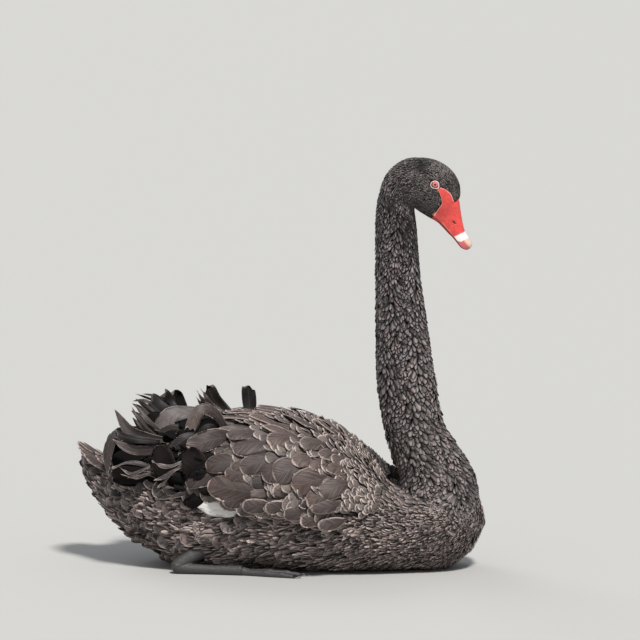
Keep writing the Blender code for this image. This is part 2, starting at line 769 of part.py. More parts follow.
# Legs and feet, folded under the body on each side of the belly
LEG_PATH = np.array([
    # centre x, y, z, radius
    (-0.066, 0.078, 0.044, 0.0120),
    (-0.098, 0.091, 0.032, 0.0105),
    (-0.122, 0.099, 0.0180, 0.0095),
    (-0.130, 0.1015, 0.0105, 0.0090),
    (-0.118, 0.1020, 0.0072, 0.0078),
    (-0.078, 0.1030, 0.0066, 0.0068),
    (-0.036, 0.1045, 0.0066, 0.0075),
])
TOES = (
    # length, spread in degrees, radius
    (0.078, -14, 0.0046),
    (0.090, 0, 0.0050),
    (0.084, 13, 0.0046),
)


def pipe(name, path, points=10):
    """A tube along a path of centres and radii, flattened where it meets the floor."""
    centre, radius = path[:, 0:3], path[:, 3]
    along = unit(np.gradient(centre, axis=0))
    side = unit(np.cross(along, (0, 0, 1.0)))
    up = np.cross(side, along)
    a = np.linspace(0, 2 * math.pi, points, endpoint=False)
    reach = radius[:, None, None]
    rings = centre[:, None] + reach * (
        side[:, None] * np.cos(a)[:, None] + up[:, None] * np.sin(a)[:, None]
    )
    rings[..., 2] = np.maximum(rings[..., 2], 0.0)
    return loft(name, rings)


def make_leg(side, torso):
    """Thigh end, hock and shank; then the foot with its three webbed toes."""
    sign = 1 if side == "left" else -1
    flip = np.array([1, sign, 1, 1])
    upper = pipe("thigh", LEG_PATH[:4] * flip)
    shank = pipe("shank", LEG_PATH[3:] * flip)
    leg = fused(f"leg_{side}", [upper, shank])
    leg = less(leg, grown(torso))
    finish(leg, "foot_skin", FOOT_SKIN, 0.55)
    heel = LEG_PATH[-1, :3] + np.array([GAP, 0, 0])
    pieces = []
    tips = []
    for length, spread, radius in TOES:
        a = math.radians(spread)
        steps = np.array([0.0, 0.12, 0.44, 0.72, 0.90, 1.0])
        swell = np.array([1.3, 1.05, 1.0, 0.85, 0.62, 0.12])
        path = np.empty((len(steps), 4))
        path[:, 0] = heel[0] + length * steps * math.cos(a)
        path[:, 1] = heel[1] + length * steps * math.sin(a)
        path[:, 3] = radius * swell
        path[:, 2] = path[:, 3] * 0.86
        tips.append(path[4, :2])
        pieces.append(pipe("toe", path * flip, 7))
    web = []
    outline = [(heel[0] + 0.004, heel[1] - 0.003), tips[0], (tips[0] + tips[1]) / 2 - (0.006, 0)]
    outline += [tips[1], (tips[1] + tips[2]) / 2 - (0.006, 0), tips[2]]
    outline += [(heel[0] + 0.004, heel[1] + 0.003)]
    for height in (0.0, 0.0022):
        web.append([(x, sign * y, height) for x, y in outline])
    pieces.append(loft("web", np.array(web)))
    hind = np.array([
        (heel[0] + 0.008, heel[1] - 0.004, 0.0038, 0.0032),
        (heel[0] + 0.000, heel[1] - 0.012, 0.0032, 0.0032),
        (heel[0] - 0.006, heel[1] - 0.018, 0.0024, 0.0020),
        (heel[0] - 0.009, heel[1] - 0.021, 0.0010, 0.0006),
    ])
    pieces.append(pipe("hind_toe", hind * flip, 8))
    foot = less(fused(f"foot_{side}", pieces), grown(leg))
    finish(foot, "foot_skin", FOOT_SKIN, 0.55)


# White flight feathers that show below the folded wing
def quill_surface(x, offset, lift):
    """A place under the wing's lower edge: degrees below that edge, height off the body."""
    angle = wing_bottom(x) + offset
    return off_hull(x, angle, lift), hull_frame(x, angle)[1]


def make_primaries(side, torso):
    """The white outer flight feathers, a stack of vanes along the flank under the wing."""
    x = np.linspace(0.000, -0.078, 7)
    places = np.repeat(x[:, None], 3, axis=1)
    offset = np.broadcast_to(np.array([2.6, 5.6, 8.6]), places.shape)
    deep = np.repeat((0.0030 + 0.0030 * np.sin(np.linspace(0.2, 2.6, 7)))[:, None], 3, axis=1)
    outer, _ = quill_surface(places, offset, deep)
    inner, _ = quill_surface(places, offset, np.zeros(places.shape))
    pieces = [loft("quills", np.concatenate([outer, inner[:, ::-1]], axis=1))]
    for i in range(3):
        places = -0.052 - 0.004 * i - (0.062 - 0.007 * i) * VANE_PLACES
        lift = 0.0030 + 0.0030 * VANE_PLACES + 0.0012 * i
        spine, normal = quill_surface(places, 5.0 + 1.5 * i + 0 * places, lift)
        heading = unit(np.gradient(spine, axis=0))
        across = unit(np.cross(heading, normal))
        normal = unit(np.cross(across, heading))
        pieces.append(vane(f"primary_{i}", spine, across, normal, 0.017, camber=0.06))
    if side == "right":
        pieces = [mirrored(piece) for piece in pieces]
    quills = less(fused(f"primaries_{side}", pieces), grown(torso))
    finish(quills, "white_quill", WHITE_QUILL, 0.7)


def main():
    for leftover in list(bpy.data.objects):
        bpy.data.objects.remove(leftover)
    torso = make_torso()
    make_neck()
    for side, seed in (("left", 11), ("right", 23)):
        make_wing(side, seed, torso)
        make_primaries(side, torso)
        make_leg(side, torso)
    make_tail()
    make_head()


main()
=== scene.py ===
import math

import bmesh
import bpy
import numpy as np
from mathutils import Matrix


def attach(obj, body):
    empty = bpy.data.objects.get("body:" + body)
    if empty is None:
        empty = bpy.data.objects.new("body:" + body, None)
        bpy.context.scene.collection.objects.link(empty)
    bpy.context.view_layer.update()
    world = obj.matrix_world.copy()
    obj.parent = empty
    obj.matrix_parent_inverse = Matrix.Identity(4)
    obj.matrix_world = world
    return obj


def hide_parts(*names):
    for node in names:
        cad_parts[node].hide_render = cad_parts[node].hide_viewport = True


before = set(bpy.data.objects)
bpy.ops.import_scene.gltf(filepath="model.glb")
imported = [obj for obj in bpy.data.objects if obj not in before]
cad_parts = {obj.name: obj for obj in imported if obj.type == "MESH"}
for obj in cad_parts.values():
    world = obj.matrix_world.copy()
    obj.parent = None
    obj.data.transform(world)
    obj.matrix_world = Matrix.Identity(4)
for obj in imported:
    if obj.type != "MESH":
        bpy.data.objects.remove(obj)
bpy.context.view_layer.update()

# Studio: a pale matt floor under soft light from above, and the camera at the photograph's angle.
# The camera stands far off to the bird's right, a little ahead of it and above it, so the view
# has almost no perspective.
PICTURE = 640                   # pixels each way
VIEW_AZIMUTH = math.radians(7.0)
VIEW_ELEVATION = math.radians(7.5)
VIEW_DISTANCE = 9.0
VIEW_WIDTH = 0.928              # metres that the picture takes in at the bird
VIEW_TARGET = np.array([0.0643, 0.0, 0.3594])
VIEW_BACK = np.array([
    math.sin(VIEW_AZIMUTH) * math.cos(VIEW_ELEVATION),
    -math.cos(VIEW_AZIMUTH) * math.cos(VIEW_ELEVATION),
    math.sin(VIEW_ELEVATION),
])
VIEW_RIGHT = np.array([math.cos(VIEW_AZIMUTH), math.sin(VIEW_AZIMUTH), 0.0])
VIEW_UP = np.cross(VIEW_BACK, VIEW_RIGHT)
CAMERA_PLACE = VIEW_TARGET + VIEW_BACK * VIEW_DISTANCE
BIRD_MIDDLE = np.array([0.0, 0.0, 0.25])


def turned_along(way):
    """Angles that turn an object's -Z axis along a direction, with its Y axis upright."""
    x, y, z = way / np.linalg.norm(way)
    return (math.atan2(math.hypot(x, y), -z), 0.0, math.atan2(-x, y))


def studio_floor():
    """A large flat square, its corners at (+-side, +-side, 0)."""
    side = 30.0
    mesh = bpy.data.meshes.new("studio_floor")
    mesh.from_pydata([(-side, -side, 0), (side, -side, 0), (side, side, 0), (-side, side, 0)], [],
                     [(0, 1, 2, 3)])
    floor = bpy.data.objects.new("studio_floor", mesh)
    bpy.context.scene.collection.objects.link(floor)
    paint, _, _ = plain_paint("pale_floor", (0.44, 0.44, 0.43), 0.9)
    mesh.materials.append(paint)


def plain_paint(name, colour, roughness):
    """A Principled material with one colour and roughness, for others to build on."""
    paint = bpy.data.materials.new(name)
    paint.use_nodes = True
    shader = paint.node_tree.nodes["Principled BSDF"]
    shader.inputs["Base Color"].default_value = (*colour, 1)
    shader.inputs["Roughness"].default_value = roughness
    return paint, paint.node_tree, shader


def soft_sun(name, place, power, spread, colour):
    """A sun that shines from a place onto the middle of the bird, spread degrees wide."""
    data = bpy.data.lights.new(name, "SUN")
    data.energy = power
    data.color = colour
    data.angle = math.radians(spread)
    lamp = bpy.data.objects.new(name, data)
    lamp.location = place
    lamp.rotation_euler = turned_along(BIRD_MIDDLE - np.array(place))
    bpy.context.scene.collection.objects.link(lamp)


studio_floor()
soft_sun("key_light", (1.6, -3.4, 5.8), power=4.0, spread=9, colour=(1.0, 0.975, 0.94))
soft_sun("rim_light", (-2.6, 3.2, 3.4), power=0.7, spread=30, colour=(0.95, 0.97, 1.0))

sky = bpy.data.worlds.new("studio")
sky.use_nodes = True
sky.node_tree.nodes["Background"].inputs["Color"].default_value = (0.90, 0.93, 0.97, 1)
sky.node_tree.nodes["Background"].inputs["Strength"].default_value = 0.40
bpy.context.scene.world = sky
bpy.context.scene.view_settings.view_transform = "Standard"

lens = bpy.data.cameras.new("camera")
lens.sensor_width = 36.0
lens.lens = lens.sensor_width * VIEW_DISTANCE / VIEW_WIDTH
lens.clip_end = 100.0
camera = bpy.data.objects.new("camera", lens)
camera.location = CAMERA_PLACE
camera.rotation_euler = turned_along(-VIEW_BACK)
bpy.context.scene.collection.objects.link(camera)
bpy.context.scene.camera = camera


# Body form: the bird under its feathers, as two bent tubes that grow into each other. The trunk
# runs from the breast to the stern, the neck from the base of the bill down into the breast.
TRUNK = np.array([
    # place along it, lower edge x and z, upper edge x and z, half width, share of widest line
    (-0.2915, 0.2915, 0.060, 0.2915, 0.072, 0.004, 0.50),
    (-0.288, 0.288, 0.043, 0.288, 0.086, 0.020, 0.53),
    (-0.272, 0.272, 0.022, 0.272, 0.099, 0.047, 0.57),
    (-0.245, 0.245, 0.007, 0.245, 0.106, 0.068, 0.62),
    (-0.205, 0.205, -0.002, 0.205, 0.112, 0.089, 0.675),
    (-0.160, 0.160, -0.005, 0.160, 0.128, 0.107, 0.66),
    (-0.120, 0.120, -0.007, 0.120, 0.157, 0.119, 0.59),
    (-0.060, 0.060, -0.008, 0.060, 0.194, 0.130, 0.515),
    (0.010, -0.010, -0.008, -0.010, 0.210, 0.131, 0.49),
    (0.080, -0.080, -0.006, -0.080, 0.205, 0.124, 0.507),
    (0.140, -0.140, 0.002, -0.140, 0.193, 0.108, 0.534),
    (0.190, -0.190, 0.030, -0.190, 0.176, 0.088, 0.521),
    (0.209, -0.212, 0.041, -0.206, 0.168, 0.076, 0.52),
    (0.228, -0.233, 0.059, -0.222, 0.161, 0.062, 0.52),
    (0.245, -0.250, 0.078, -0.236, 0.156, 0.049, 0.52),
    (0.261, -0.264, 0.097, -0.249, 0.153, 0.037, 0.52),
    (0.279, -0.277, 0.119, -0.264, 0.1545, 0.025, 0.52),
    (0.294, -0.284, 0.138, -0.275, 0.159, 0.015, 0.52),
    (0.299, -0.286, 0.147, -0.281, 0.159, 0.004, 0.50),
])
NECK = np.array([
    # rear edge x and z, front edge x and z, half width, from the bill down
    (0.2630, 0.5360, 0.2470, 0.5100, 0.0080),
    (0.2680, 0.5420, 0.2420, 0.5050, 0.0143),
    (0.2692, 0.5520, 0.2380, 0.5062, 0.0164),
    (0.2670, 0.5640, 0.2335, 0.5080, 0.0192),
    (0.2600, 0.5765, 0.2290, 0.5100, 0.0226),
    (0.2480, 0.5875, 0.2240, 0.5125, 0.0256),
    (0.2300, 0.5960, 0.2175, 0.5165, 0.0274),
    (0.2085, 0.5982, 0.2105, 0.5205, 0.0276),
    (0.1887, 0.5955, 0.2060, 0.5238, 0.0273),
    (0.1700, 0.5840, 0.2030, 0.5255, 0.0268),
    (0.1575, 0.5670, 0.2018, 0.5250, 0.0262),
    (0.1508, 0.5450, 0.2012, 0.5215, 0.0256),
    (0.1465, 0.5170, 0.2023, 0.5110, 0.0250),
    (0.1455, 0.4900, 0.2045, 0.4880, 0.0255),
    (0.1455, 0.4500, 0.2075, 0.4500, 0.0268),
    (0.1460, 0.4050, 0.2125, 0.4050, 0.0285),
    (0.1460, 0.3600, 0.2190, 0.3600, 0.0310),
    (0.1465, 0.3150, 0.2255, 0.3150, 0.0335),
    (0.1485, 0.2750, 0.2325, 0.2750, 0.0355),
    (0.1525, 0.2400, 0.2385, 0.2380, 0.0370),
    (0.1580, 0.2080, 0.2465, 0.2060, 0.0390),
    (0.1640, 0.1820, 0.2620, 0.1820, 0.0420),
    (0.1710, 0.1580, 0.2790, 0.1580, 0.0455),
    (0.1800, 0.1320, 0.2905, 0.1340, 0.0500),
    (0.1840, 0.1080, 0.2940, 0.1060, 0.0580),
    (0.1780, 0.0860, 0.2935, 0.0840, 0.0640),
    (0.1760, 0.0660, 0.2895, 0.0640, 0.0620),
    (0.1900, 0.0360, 0.2680, 0.0360, 0.0400),
    (0.2200, 0.0300, 0.2400, 0.0300, 0.0080),
])
NAPE = 12.0                     # the section where the head's turn begins
HEAD_TURN = math.radians(-6)
TURN_AXIS = 0.175               # x of the upright line that the head turns about
NECK_JOINS = 18                 # the section below which neck and trunk grow into each other
NECK_LEVELS = (0.036, 0.30)     # heights between which the neck is close to upright
TRUNK_STEP = 0.003              # small steps that slopes are worked out over: metres along the
NECK_STEP = 0.05                # trunk, sections along the neck, and degrees round either
ROUND_STEP = 1.0


def through(rows, places):
    """A table read between its lines by cubic Hermite curves with central slopes."""
    t, v = rows[:, 0], rows[:, 1:]
    slope = np.gradient(v, t, axis=0)
    places = np.clip(places, t[0], t[-1])
    i = np.clip(np.searchsorted(t, places, side="right") - 1, 0, len(t) - 2)
    h = (t[i + 1] - t[i])[..., None]
    u = (places - t[i])[..., None] / h
    return (
        (2 * u**3 - 3 * u**2 + 1) * v[i]
        + (u**3 - 2 * u**2 + u) * h * slope[i]
        + (3 * u**2 - 2 * u**3) * v[i + 1]
        + (u**3 - u**2) * h * slope[i + 1]
    )


def unit(v):
    """Vectors divided by their own length."""
    return v / np.maximum(np.linalg.norm(v, axis=-1, keepdims=True), 1e-12)


def pressed(values, power):
    """A cosine or sine pressed outwards: its sign times its size to a power."""
    return np.sign(values) * np.abs(values) ** power


def trunk_surface(s, a):
    """Trunk: s metres along it towards the tail, a degrees round it from the middle of the back.
    Point = lower + (upper - lower) * share, where share swings about the widest line with cos(a),
    and y = half width * sin(a), both a little pressed outwards."""
    s, a = np.broadcast_arrays(np.asarray(s, float), np.radians(np.asarray(a, float)))
    lx, lz, ux, uz, half, wide = np.moveaxis(through(TRUNK, s), -1, 0)
    c = pressed(np.cos(a), 0.96)
    share = wide + np.where(c > 0, 1 - wide, wide) * c
    y = half * pressed(np.sin(a), 0.92)
    return np.stack([lx + (ux - lx) * share, y, lz + (uz - lz) * share], -1)


def head_turned(p, amount=1.0):
    """Points turned about the upright line through the nape, by a share of the head's turn."""
    t = HEAD_TURN * np.asarray(amount)
    x, y = p[..., 0] - TURN_AXIS, p[..., 1]
    turned_x = TURN_AXIS + x * np.cos(t) - y * np.sin(t)
    return np.stack([turned_x, x * np.sin(t) + y * np.cos(t), p[..., 2]], -1)


def turn_share(s):
    """Share of the head's turn at section s: 0 up to the nape, then growing to 1 in 4 sections."""
    return np.clip((NAPE - np.asarray(s, float)) / 4.0, 0, 1)


def neck_surface(s, a):
    """Neck and head: s counts sections from the bill down, a degrees round from the back of the
    neck. Point = middle + reach * cos(a), y = half width * sin(a), then the head's turn."""
    s, a = np.broadcast_arrays(np.asarray(s, float), np.radians(np.asarray(a, float)))
    steps = np.column_stack([np.arange(len(NECK), dtype=float), NECK])
    rx, rz, fx, fz, half = np.moveaxis(through(steps, s), -1, 0)
    x = (rx + fx) / 2 + (rx - fx) / 2 * np.cos(a)
    z = (rz + fz) / 2 + (rz - fz) / 2 * np.cos(a)
    return head_turned(np.stack([x, half * np.sin(a), z], -1), turn_share(s))


def over_trunk(p):
    """How far points lie outside the trunk: reach from the middle of its section * (1 - 1 / ratio),
    where ratio is that reach over the section's own in the same direction."""
    _, lz, _, uz, half, wide = np.moveaxis(through(TRUNK, -p[..., 0]), -1, 0)
    middle = lz + (uz - lz) * wide
    dz = p[..., 2] - middle
    tall = np.where(dz > 0, uz - middle, middle - lz)
    ratio = np.sqrt((p[..., 1] / half) ** 2 + (dz / tall) ** 2) + 1e-9
    return np.hypot(p[..., 1], dz) * (1 - 1 / ratio)


def over_neck(p):
    """How far points lie outside the upright part of the neck, worked out in the same way on its
    level section. Points under or over that part count as so much further out."""
    low = NECK[27:16:-1]        # the lower sections, from the foot upwards
    low = np.column_stack([(low[:, 1] + low[:, 3]) / 2, low[:, [0, 2, 4]]])
    rear, front, half = np.moveaxis(through(low, p[..., 2]), -1, 0)
    x = p[..., 0] - (rear + front) / 2
    ratio = np.hypot(x / ((front - rear) / 2), p[..., 1] / half) + 1e-9
    out = np.hypot(x, p[..., 1]) * (1 - 1 / ratio)
    foot, top = NECK_LEVELS
    return out + np.maximum(foot - p[..., 2], 0) + np.maximum(p[..., 2] - top, 0)


def filled_in(gap, x):
    """Flesh that rounds off the corner between neck and trunk: h * h * k / 4, where h falls from
    1 in the corner to 0 at k away from it, and k is larger towards the breast."""
    k = 0.014 + 0.040 * np.clip((x - 0.175) / 0.05, 0, 1)
    h = np.clip(1 - gap / k, 0, 1)
    return h * h * k / 4


def frame_on(surface, s, a, ds):
    """Point and outward normal: the way round x the way along, from differences over small steps."""
    along = surface(s + ds, a) - surface(s - ds, a)
    round_it = surface(s, a + ROUND_STEP) - surface(s, a - ROUND_STEP)
    return surface(s, a), unit(np.cross(round_it, along))


def trunk_flesh(s, a):
    """The trunk's surface with the flesh that rounds off its corner with the neck."""
    p, n = frame_on(trunk_surface, s, a, TRUNK_STEP)
    return p + n * filled_in(over_neck(p), p[..., 0])[..., None]


def neck_flesh(s, a):
    """The neck's surface with the flesh that rounds off its corner with the trunk."""
    p, n = frame_on(neck_surface, s, a, NECK_STEP)
    return p + n * (filled_in(over_trunk(p), p[..., 0]) * (np.asarray(s) > NECK_JOINS))[..., None]


# Skin: the bare body under the plumage, all one piece from the bill to the tail, so that nothing
# but dark down shows between the feathers. It bulges where the folded wings lie on it.
WING_FRONT = 0.165
WING_REAR = -0.175
WING_TOP = 3.5                  # degrees from the middle of the back to the wing's upper edge
WING_RIM = 0.003                # the folded wing's depth at its rim, and what it gains inside
WING_SWELL = 0.015
COAT_DEPTH = 0.0045
SKIN_LIFT = 0.0016              # the skin's height over the floor, for the feathers under it
SKIN_VOXEL = 0.0032


def wing_bottom(x):
    """Degrees round the body to the wing's lower edge, which rises at the wrist and the rear."""
    return np.interp(x, (-0.175, -0.120, -0.100, -0.045, 0.060, 0.165), (66, 79, 86, 92, 92, 76))


def wing_depth(x, a):
    """Depth of the folded wing over the trunk: rim + swell * sin(pi * u ** 0.7) ** 0.6 * sin(pi * v)
    ** 0.7, where u runs from its front to its rear and v nearly from edge to edge."""
    u = np.clip((WING_FRONT - x) / (WING_FRONT - WING_REAR), 0, 1)
    v = np.clip((np.abs(a) - WING_TOP) / (wing_bottom(x) - WING_TOP), 0, 1)
    swell = np.sin(math.pi * u**0.7) ** 0.6 * np.sin(math.pi * (0.12 + 0.76 * v)) ** 0.7
    return WING_RIM + WING_SWELL * swell


def under_wing(x, a):
    """1 under the folded wing and 0 elsewhere."""
    a = np.abs(a)
    return ((x < WING_FRONT) & (x > WING_REAR) & (a > WING_TOP) & (a < wing_bottom(x))) * 1.0


def tube_faces(rows, points):
    """Quads of a grid that closes on itself across, and a face over each end."""
    i, j = np.meshgrid(np.arange(rows - 1), np.arange(points), indexing="ij")
    k = (j + 1) % points
    quads = np.stack([i * points + j, i * points + k, (i + 1) * points + k, (i + 1) * points + j], -1)
    ends = [list(range(points))[::-1], list(range((rows - 1) * points, rows * points))]
    return quads.reshape(-1, 4).tolist() + ends


def mesh_piece(name, points, faces):
    """A mesh object with its faces turned outwards."""
    mesh = bpy.data.meshes.new(name)
    mesh.from_pydata(np.asarray(points, float).reshape(-1, 3).tolist(), [], faces)
    shape = bmesh.new()
    shape.from_mesh(mesh)
    bmesh.ops.recalc_face_normals(shape, faces=shape.faces)
    shape.to_mesh(mesh)
    shape.free()
    mesh.shade_smooth()
    made = bpy.data.objects.new(name, mesh)
    bpy.context.scene.collection.objects.link(made)
    return made


def one_surface(made, voxel, rounds):
    """The object's shells merged into one closed surface of even squares, then relaxed."""
    remesh = made.modifiers.new("one_surface", "REMESH")
    remesh.mode = "VOXEL"
    remesh.voxel_size = voxel
    relax = made.modifiers.new("relax", "SMOOTH")
    relax.factor = 0.5
    relax.iterations = rounds
    graph = bpy.context.evaluated_depsgraph_get()
    mesh = bpy.data.meshes.new_from_object(made.evaluated_get(graph))
    made.modifiers.clear()
    made.data = mesh
    mesh.shade_smooth()
    return made


def bare_body():
    """Trunk and neck, each drawn in by the depth of its coat, as two tubes in one mesh. Under the
    wings the trunk is raised by 0.85 of their depth."""
    rows = np.concatenate([np.linspace(TRUNK[0, 0], -0.27, 8), np.linspace(-0.26, TRUNK[-1, 0], 120)])
    s, a = np.meshgrid(rows, np.linspace(-180, 180, 96, endpoint=False), indexing="ij")
    p = trunk_flesh(s, a)
    lift = wing_depth(p[..., 0], a) * 0.85 * under_wing(p[..., 0], a) - COAT_DEPTH
    p = p + unit(p - p.mean(axis=1, keepdims=True)) * lift[..., None]
    faces = tube_faces(*s.shape)
    t, b = np.meshgrid(np.linspace(0, len(NECK) - 1.0, 220),
                       np.linspace(-180, 180, 72, endpoint=False), indexing="ij")
    q = neck_flesh(t, b)
    depth = np.interp(t, (0, 1.5, 3, 11, 15, 20), (0.0050, 0.0032, 0.0016, 0.0022, 0.0035, COAT_DEPTH))
    q = q - unit(q - q.mean(axis=1, keepdims=True)) * depth[..., None]
    faces += [[i + s.size for i in face] for face in tube_faces(*t.shape)]
    points = np.concatenate([p.reshape(-1, 3), q.reshape(-1, 3)])
    points[:, 2] = np.maximum(points[:, 2], SKIN_LIFT)
    return one_surface(mesh_piece("skin", points, faces), SKIN_VOXEL, 4)


def down_paint():
    """Sooty down: near black, mottled by noise, with a fibrous bump."""
    paint, tree, shader = plain_paint("dark_down", (0.012, 0.010, 0.010), 0.95)
    place = tree.nodes.new("ShaderNodeTexCoord")
    tuft = tree.nodes.new("ShaderNodeTexNoise")
    tuft.inputs["Scale"].default_value = 420
    tuft.inputs["Detail"].default_value = 4
    tree.links.new(place.outputs["Object"], tuft.inputs["Vector"])
    ramp = tree.nodes.new("ShaderNodeValToRGB")
    ramp.color_ramp.elements[0].color = (0.004, 0.0035, 0.0035, 1)
    ramp.color_ramp.elements[1].color = (0.022, 0.019, 0.018, 1)
    tree.links.new(tuft.outputs["Fac"], ramp.inputs["Fac"])
    tree.links.new(ramp.outputs["Color"], shader.inputs["Base Color"])
    bump = tree.nodes.new("ShaderNodeBump")
    bump.inputs["Strength"].default_value = 0.6
    bump.inputs["Distance"].default_value = 0.0008
    tree.links.new(tuft.outputs["Fac"], bump.inputs["Height"])
    tree.links.new(bump.outputs["Normal"], shader.inputs["Normal"])
    return paint


skin = bare_body()
skin.data.materials.append(down_paint())
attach(skin, "root")
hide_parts("torso", "neck_lower", "neck_upper", "head")


# Trunk plumage: small soft feathers on the breast, flanks, belly and stern, brown-grey with worn
# pale tips, rooted in the skin and lying back towards the tail like shingles.
ROUND_TUFT = np.array([(0, 0.45), (0.40, 0.95), (0.72, 1.0), (0.92, 0.66), (1, 0.16)])
BREAST_POLE = 0.24              # x past which the coats of trunk and neck reach further under
                                # each other, so that no bare spot shows


def feathers(name, spine, side, normal, width, uv, chance, tone, outline, across=3, thick=0.0004,
             cup=0.15, wave=0.0, fray=0.0, patch=0.004, ragged=0.0):
    """Closed thin blades joined in one mesh.

    spine, side and normal are (n, k, 3), k stations from root to tip at the places that the
    outline gives, with the share of the whole width there. `across` points stand on the upper face
    of a station, at u from -1 to 1: spine + side * u * half + normal * (cup * half * (1 - u * u) +
    wave * |u| ** 1.5 * v * a sine of the length). The lower face has the same points but for the
    edge ones, a thickness below. Frayed edge points are drawn in by chance, and the points of the
    tip lie up to `ragged` metres further out or in. Nothing reaches nearer the floor than 0.4 to
    1.2 mm. The attribute vane holds millimetres in from the edge, share along and chance, and
    vane_mm holds millimetres across and along, and tone. In the map each blade is a patch about
    its own uv.
    """
    n, k = spine.shape[:2]
    v = outline[:, 0]
    u = np.linspace(-1, 1, across)
    half = outline[:, 1] * np.asarray(width).reshape(-1, 1) / 2
    reach = half[..., None] * np.ones(across)
    worn = np.abs(np.sin(chance[:, None, None] * 91 + np.arange(k)[:, None] * 37.7
                         + np.array([0.0, 2.1])))
    reach[..., [0, -1]] *= 1 - fray * worn
    sway = np.sin(9.0 * v[None, :, None] + chance[:, None, None] * 40 + 2.3 * (u > 0))
    lift = cup * half[..., None] * (1 - u**2) + wave * np.abs(u) ** 1.5 * sway * v[None, :, None]
    upper = (spine[:, :, None] + side[:, :, None] * (reach * u)[..., None]
             + normal[:, :, None] * lift[..., None])
    torn = np.sin(chance[:, None] * 57 + np.arange(across) * 2.6)
    torn = torn * np.cos(np.arange(across) * 1.9 + chance[:, None] * 83)
    end = unit(spine[:, -1] - spine[:, -2])[:, None, None]
    upper = upper + end * (ragged * v**8)[None, :, None, None] * torn[:, None, :, None]
    deep = thick * (1.2 - 0.7 * v)[None, :, None, None]
    ring = np.concatenate([upper, (upper[:, :, 1:-1] - normal[:, :, None] * deep)[:, :, ::-1]], axis=2)
    m = ring.shape[2]
    points = ring.reshape(-1, 3)
    points[:, 2] = np.maximum(points[:, 2], 0.0004 + 0.0008 * np.repeat(chance, k * m))
    f, i, j = np.meshgrid(np.arange(n), np.arange(k - 1), np.arange(m), indexing="ij")
    base = (f * k + i) * m
    quads = np.stack([base + j, base + (j + 1) % m, base + m + (j + 1) % m, base + m + j], -1)
    root = np.arange(n)[:, None] * k * m + np.arange(m)[::-1]
    tip = np.arange(n)[:, None] * k * m + (k - 1) * m + np.arange(m)
    loops = np.concatenate([quads.ravel(), root.ravel(), tip.ravel()]).astype(np.int32)
    sizes = np.concatenate([np.full(n * (k - 1) * m, 4), np.full(2 * n, m)])
    mesh = bpy.data.meshes.new(name)
    mesh.vertices.add(len(points))
    mesh.vertices.foreach_set("co", points.ravel())
    mesh.loops.add(len(loops))
    mesh.loops.foreach_set("vertex_index", loops)
    mesh.polygons.add(len(sizes))
    mesh.polygons.foreach_set("loop_start", (np.cumsum(sizes) - sizes).astype(np.int32))
    mesh.update(calc_edges=True)
    mesh.shade_smooth()
    u = np.concatenate([u, u[1:-1][::-1]])
    grid = np.ones((n, k, m))
    length = np.linalg.norm(np.diff(spine, axis=1), axis=2).sum(1)[:, None, None]
    along = grid * v[None, :, None]
    inward = np.minimum(half[..., None] * (1 - np.abs(u)), (1 - along) * length + 0 * grid) * 1000
    for label, values in (
        ("vane", (inward, along, grid * chance[:, None, None])),
        ("vane_mm", (half[..., None] * u * 1000, along * length * 1000, grid * tone[:, None, None])),
    ):
        layer = mesh.attributes.new(label, "FLOAT_VECTOR", "POINT")
        layer.data.foreach_set("vector", np.stack(values, -1).ravel())
    low, high = uv.min(axis=0), uv.max(axis=0)
    uv = 0.04 + 0.92 * (uv - low) / np.maximum(high - low, 1e-9)
    spot = uv[:, None, None] + patch / 2 * np.stack([grid * u, 2 * along - 1], -1)
    layer = mesh.uv_layers.new(name="OFBake")
    layer.data.foreach_set("uv", np.clip(spot.reshape(-1, 2)[loops], 0, 1).ravel())
    made = bpy.data.objects.new(name, mesh)
    bpy.context.scene.collection.objects.link(made)
    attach(made, "root")
    return made


def roots_in_rows(surface, rows, gap, first, last, rng, loose):
    """Roots in rows across a surface. Each row is walked in even steps that fill its true length,
    every second row half a step on, with a loose share of a step of chance. Gap, first and last
    are functions of the row's place."""
    found = []
    for r, s in enumerate(rows):
        a = np.linspace(first(s), last(s), 241)
        p = surface(np.full(a.shape, s), a)
        run = np.concatenate([[0], np.cumsum(np.linalg.norm(np.diff(p, axis=0), axis=1))])
        count = max(round(run[-1] / gap(s)), 1)
        at = np.arange(count) + 0.5 * (r % 2) + 0.25 + loose * rng.uniform(-1, 1, count)
        at = at % count * run[-1] / count
        found.append(np.stack([np.full(at.shape, s), np.interp(at, run, a)], -1))
    return np.concatenate(found)


def rows_along(first, last, gap):
    """Row places from first to last, each a gap on from the one before."""
    rows = [first]
    while rows[-1] < last:
        rows.append(rows[-1] + gap(rows[-1]))
    return rows


def laid_on(surface, s, a, ds, height, roll):
    """Spines that run over a surface through places s and a, a height above it, with their sides
    and upward ways: side = heading x normal, up = side x heading, both then turned about the
    heading by roll degrees. ds is a small step of s."""
    p, n = frame_on(surface, s, a, ds)
    p = p + n * height[..., None]
    heading = unit(np.gradient(p, axis=1))
    side = unit(np.cross(heading, n))
    up = np.cross(side, heading)
    turn = np.radians(roll)[..., None]
    return p, side * np.cos(turn) + up * np.sin(turn), up * np.cos(turn) - side * np.sin(turn)


def spines_on(surface, s, a, length, ds, sunk, raised, v, drift, roll, curve=1.3):
    """Spines that follow a surface the way s grows. Station v lies length * v along it, drift
    degrees further round at the tip, and its height runs from -sunk to raised as v ** curve.
    The roll grows towards the tip."""
    given = (length, sunk, raised, drift, roll)
    length, sunk, raised, drift, roll = (np.broadcast_to(k, s.shape)[:, None] for k in given)
    pace = np.linalg.norm(surface(s + ds, a) - surface(s - ds, a), axis=-1)[:, None] / (2 * ds)
    return laid_on(surface, s[:, None] + length * v / np.maximum(pace, 1e-3), a[:, None] + drift * v, ds,
                   (raised + sunk) * v**curve - sunk, roll * v)


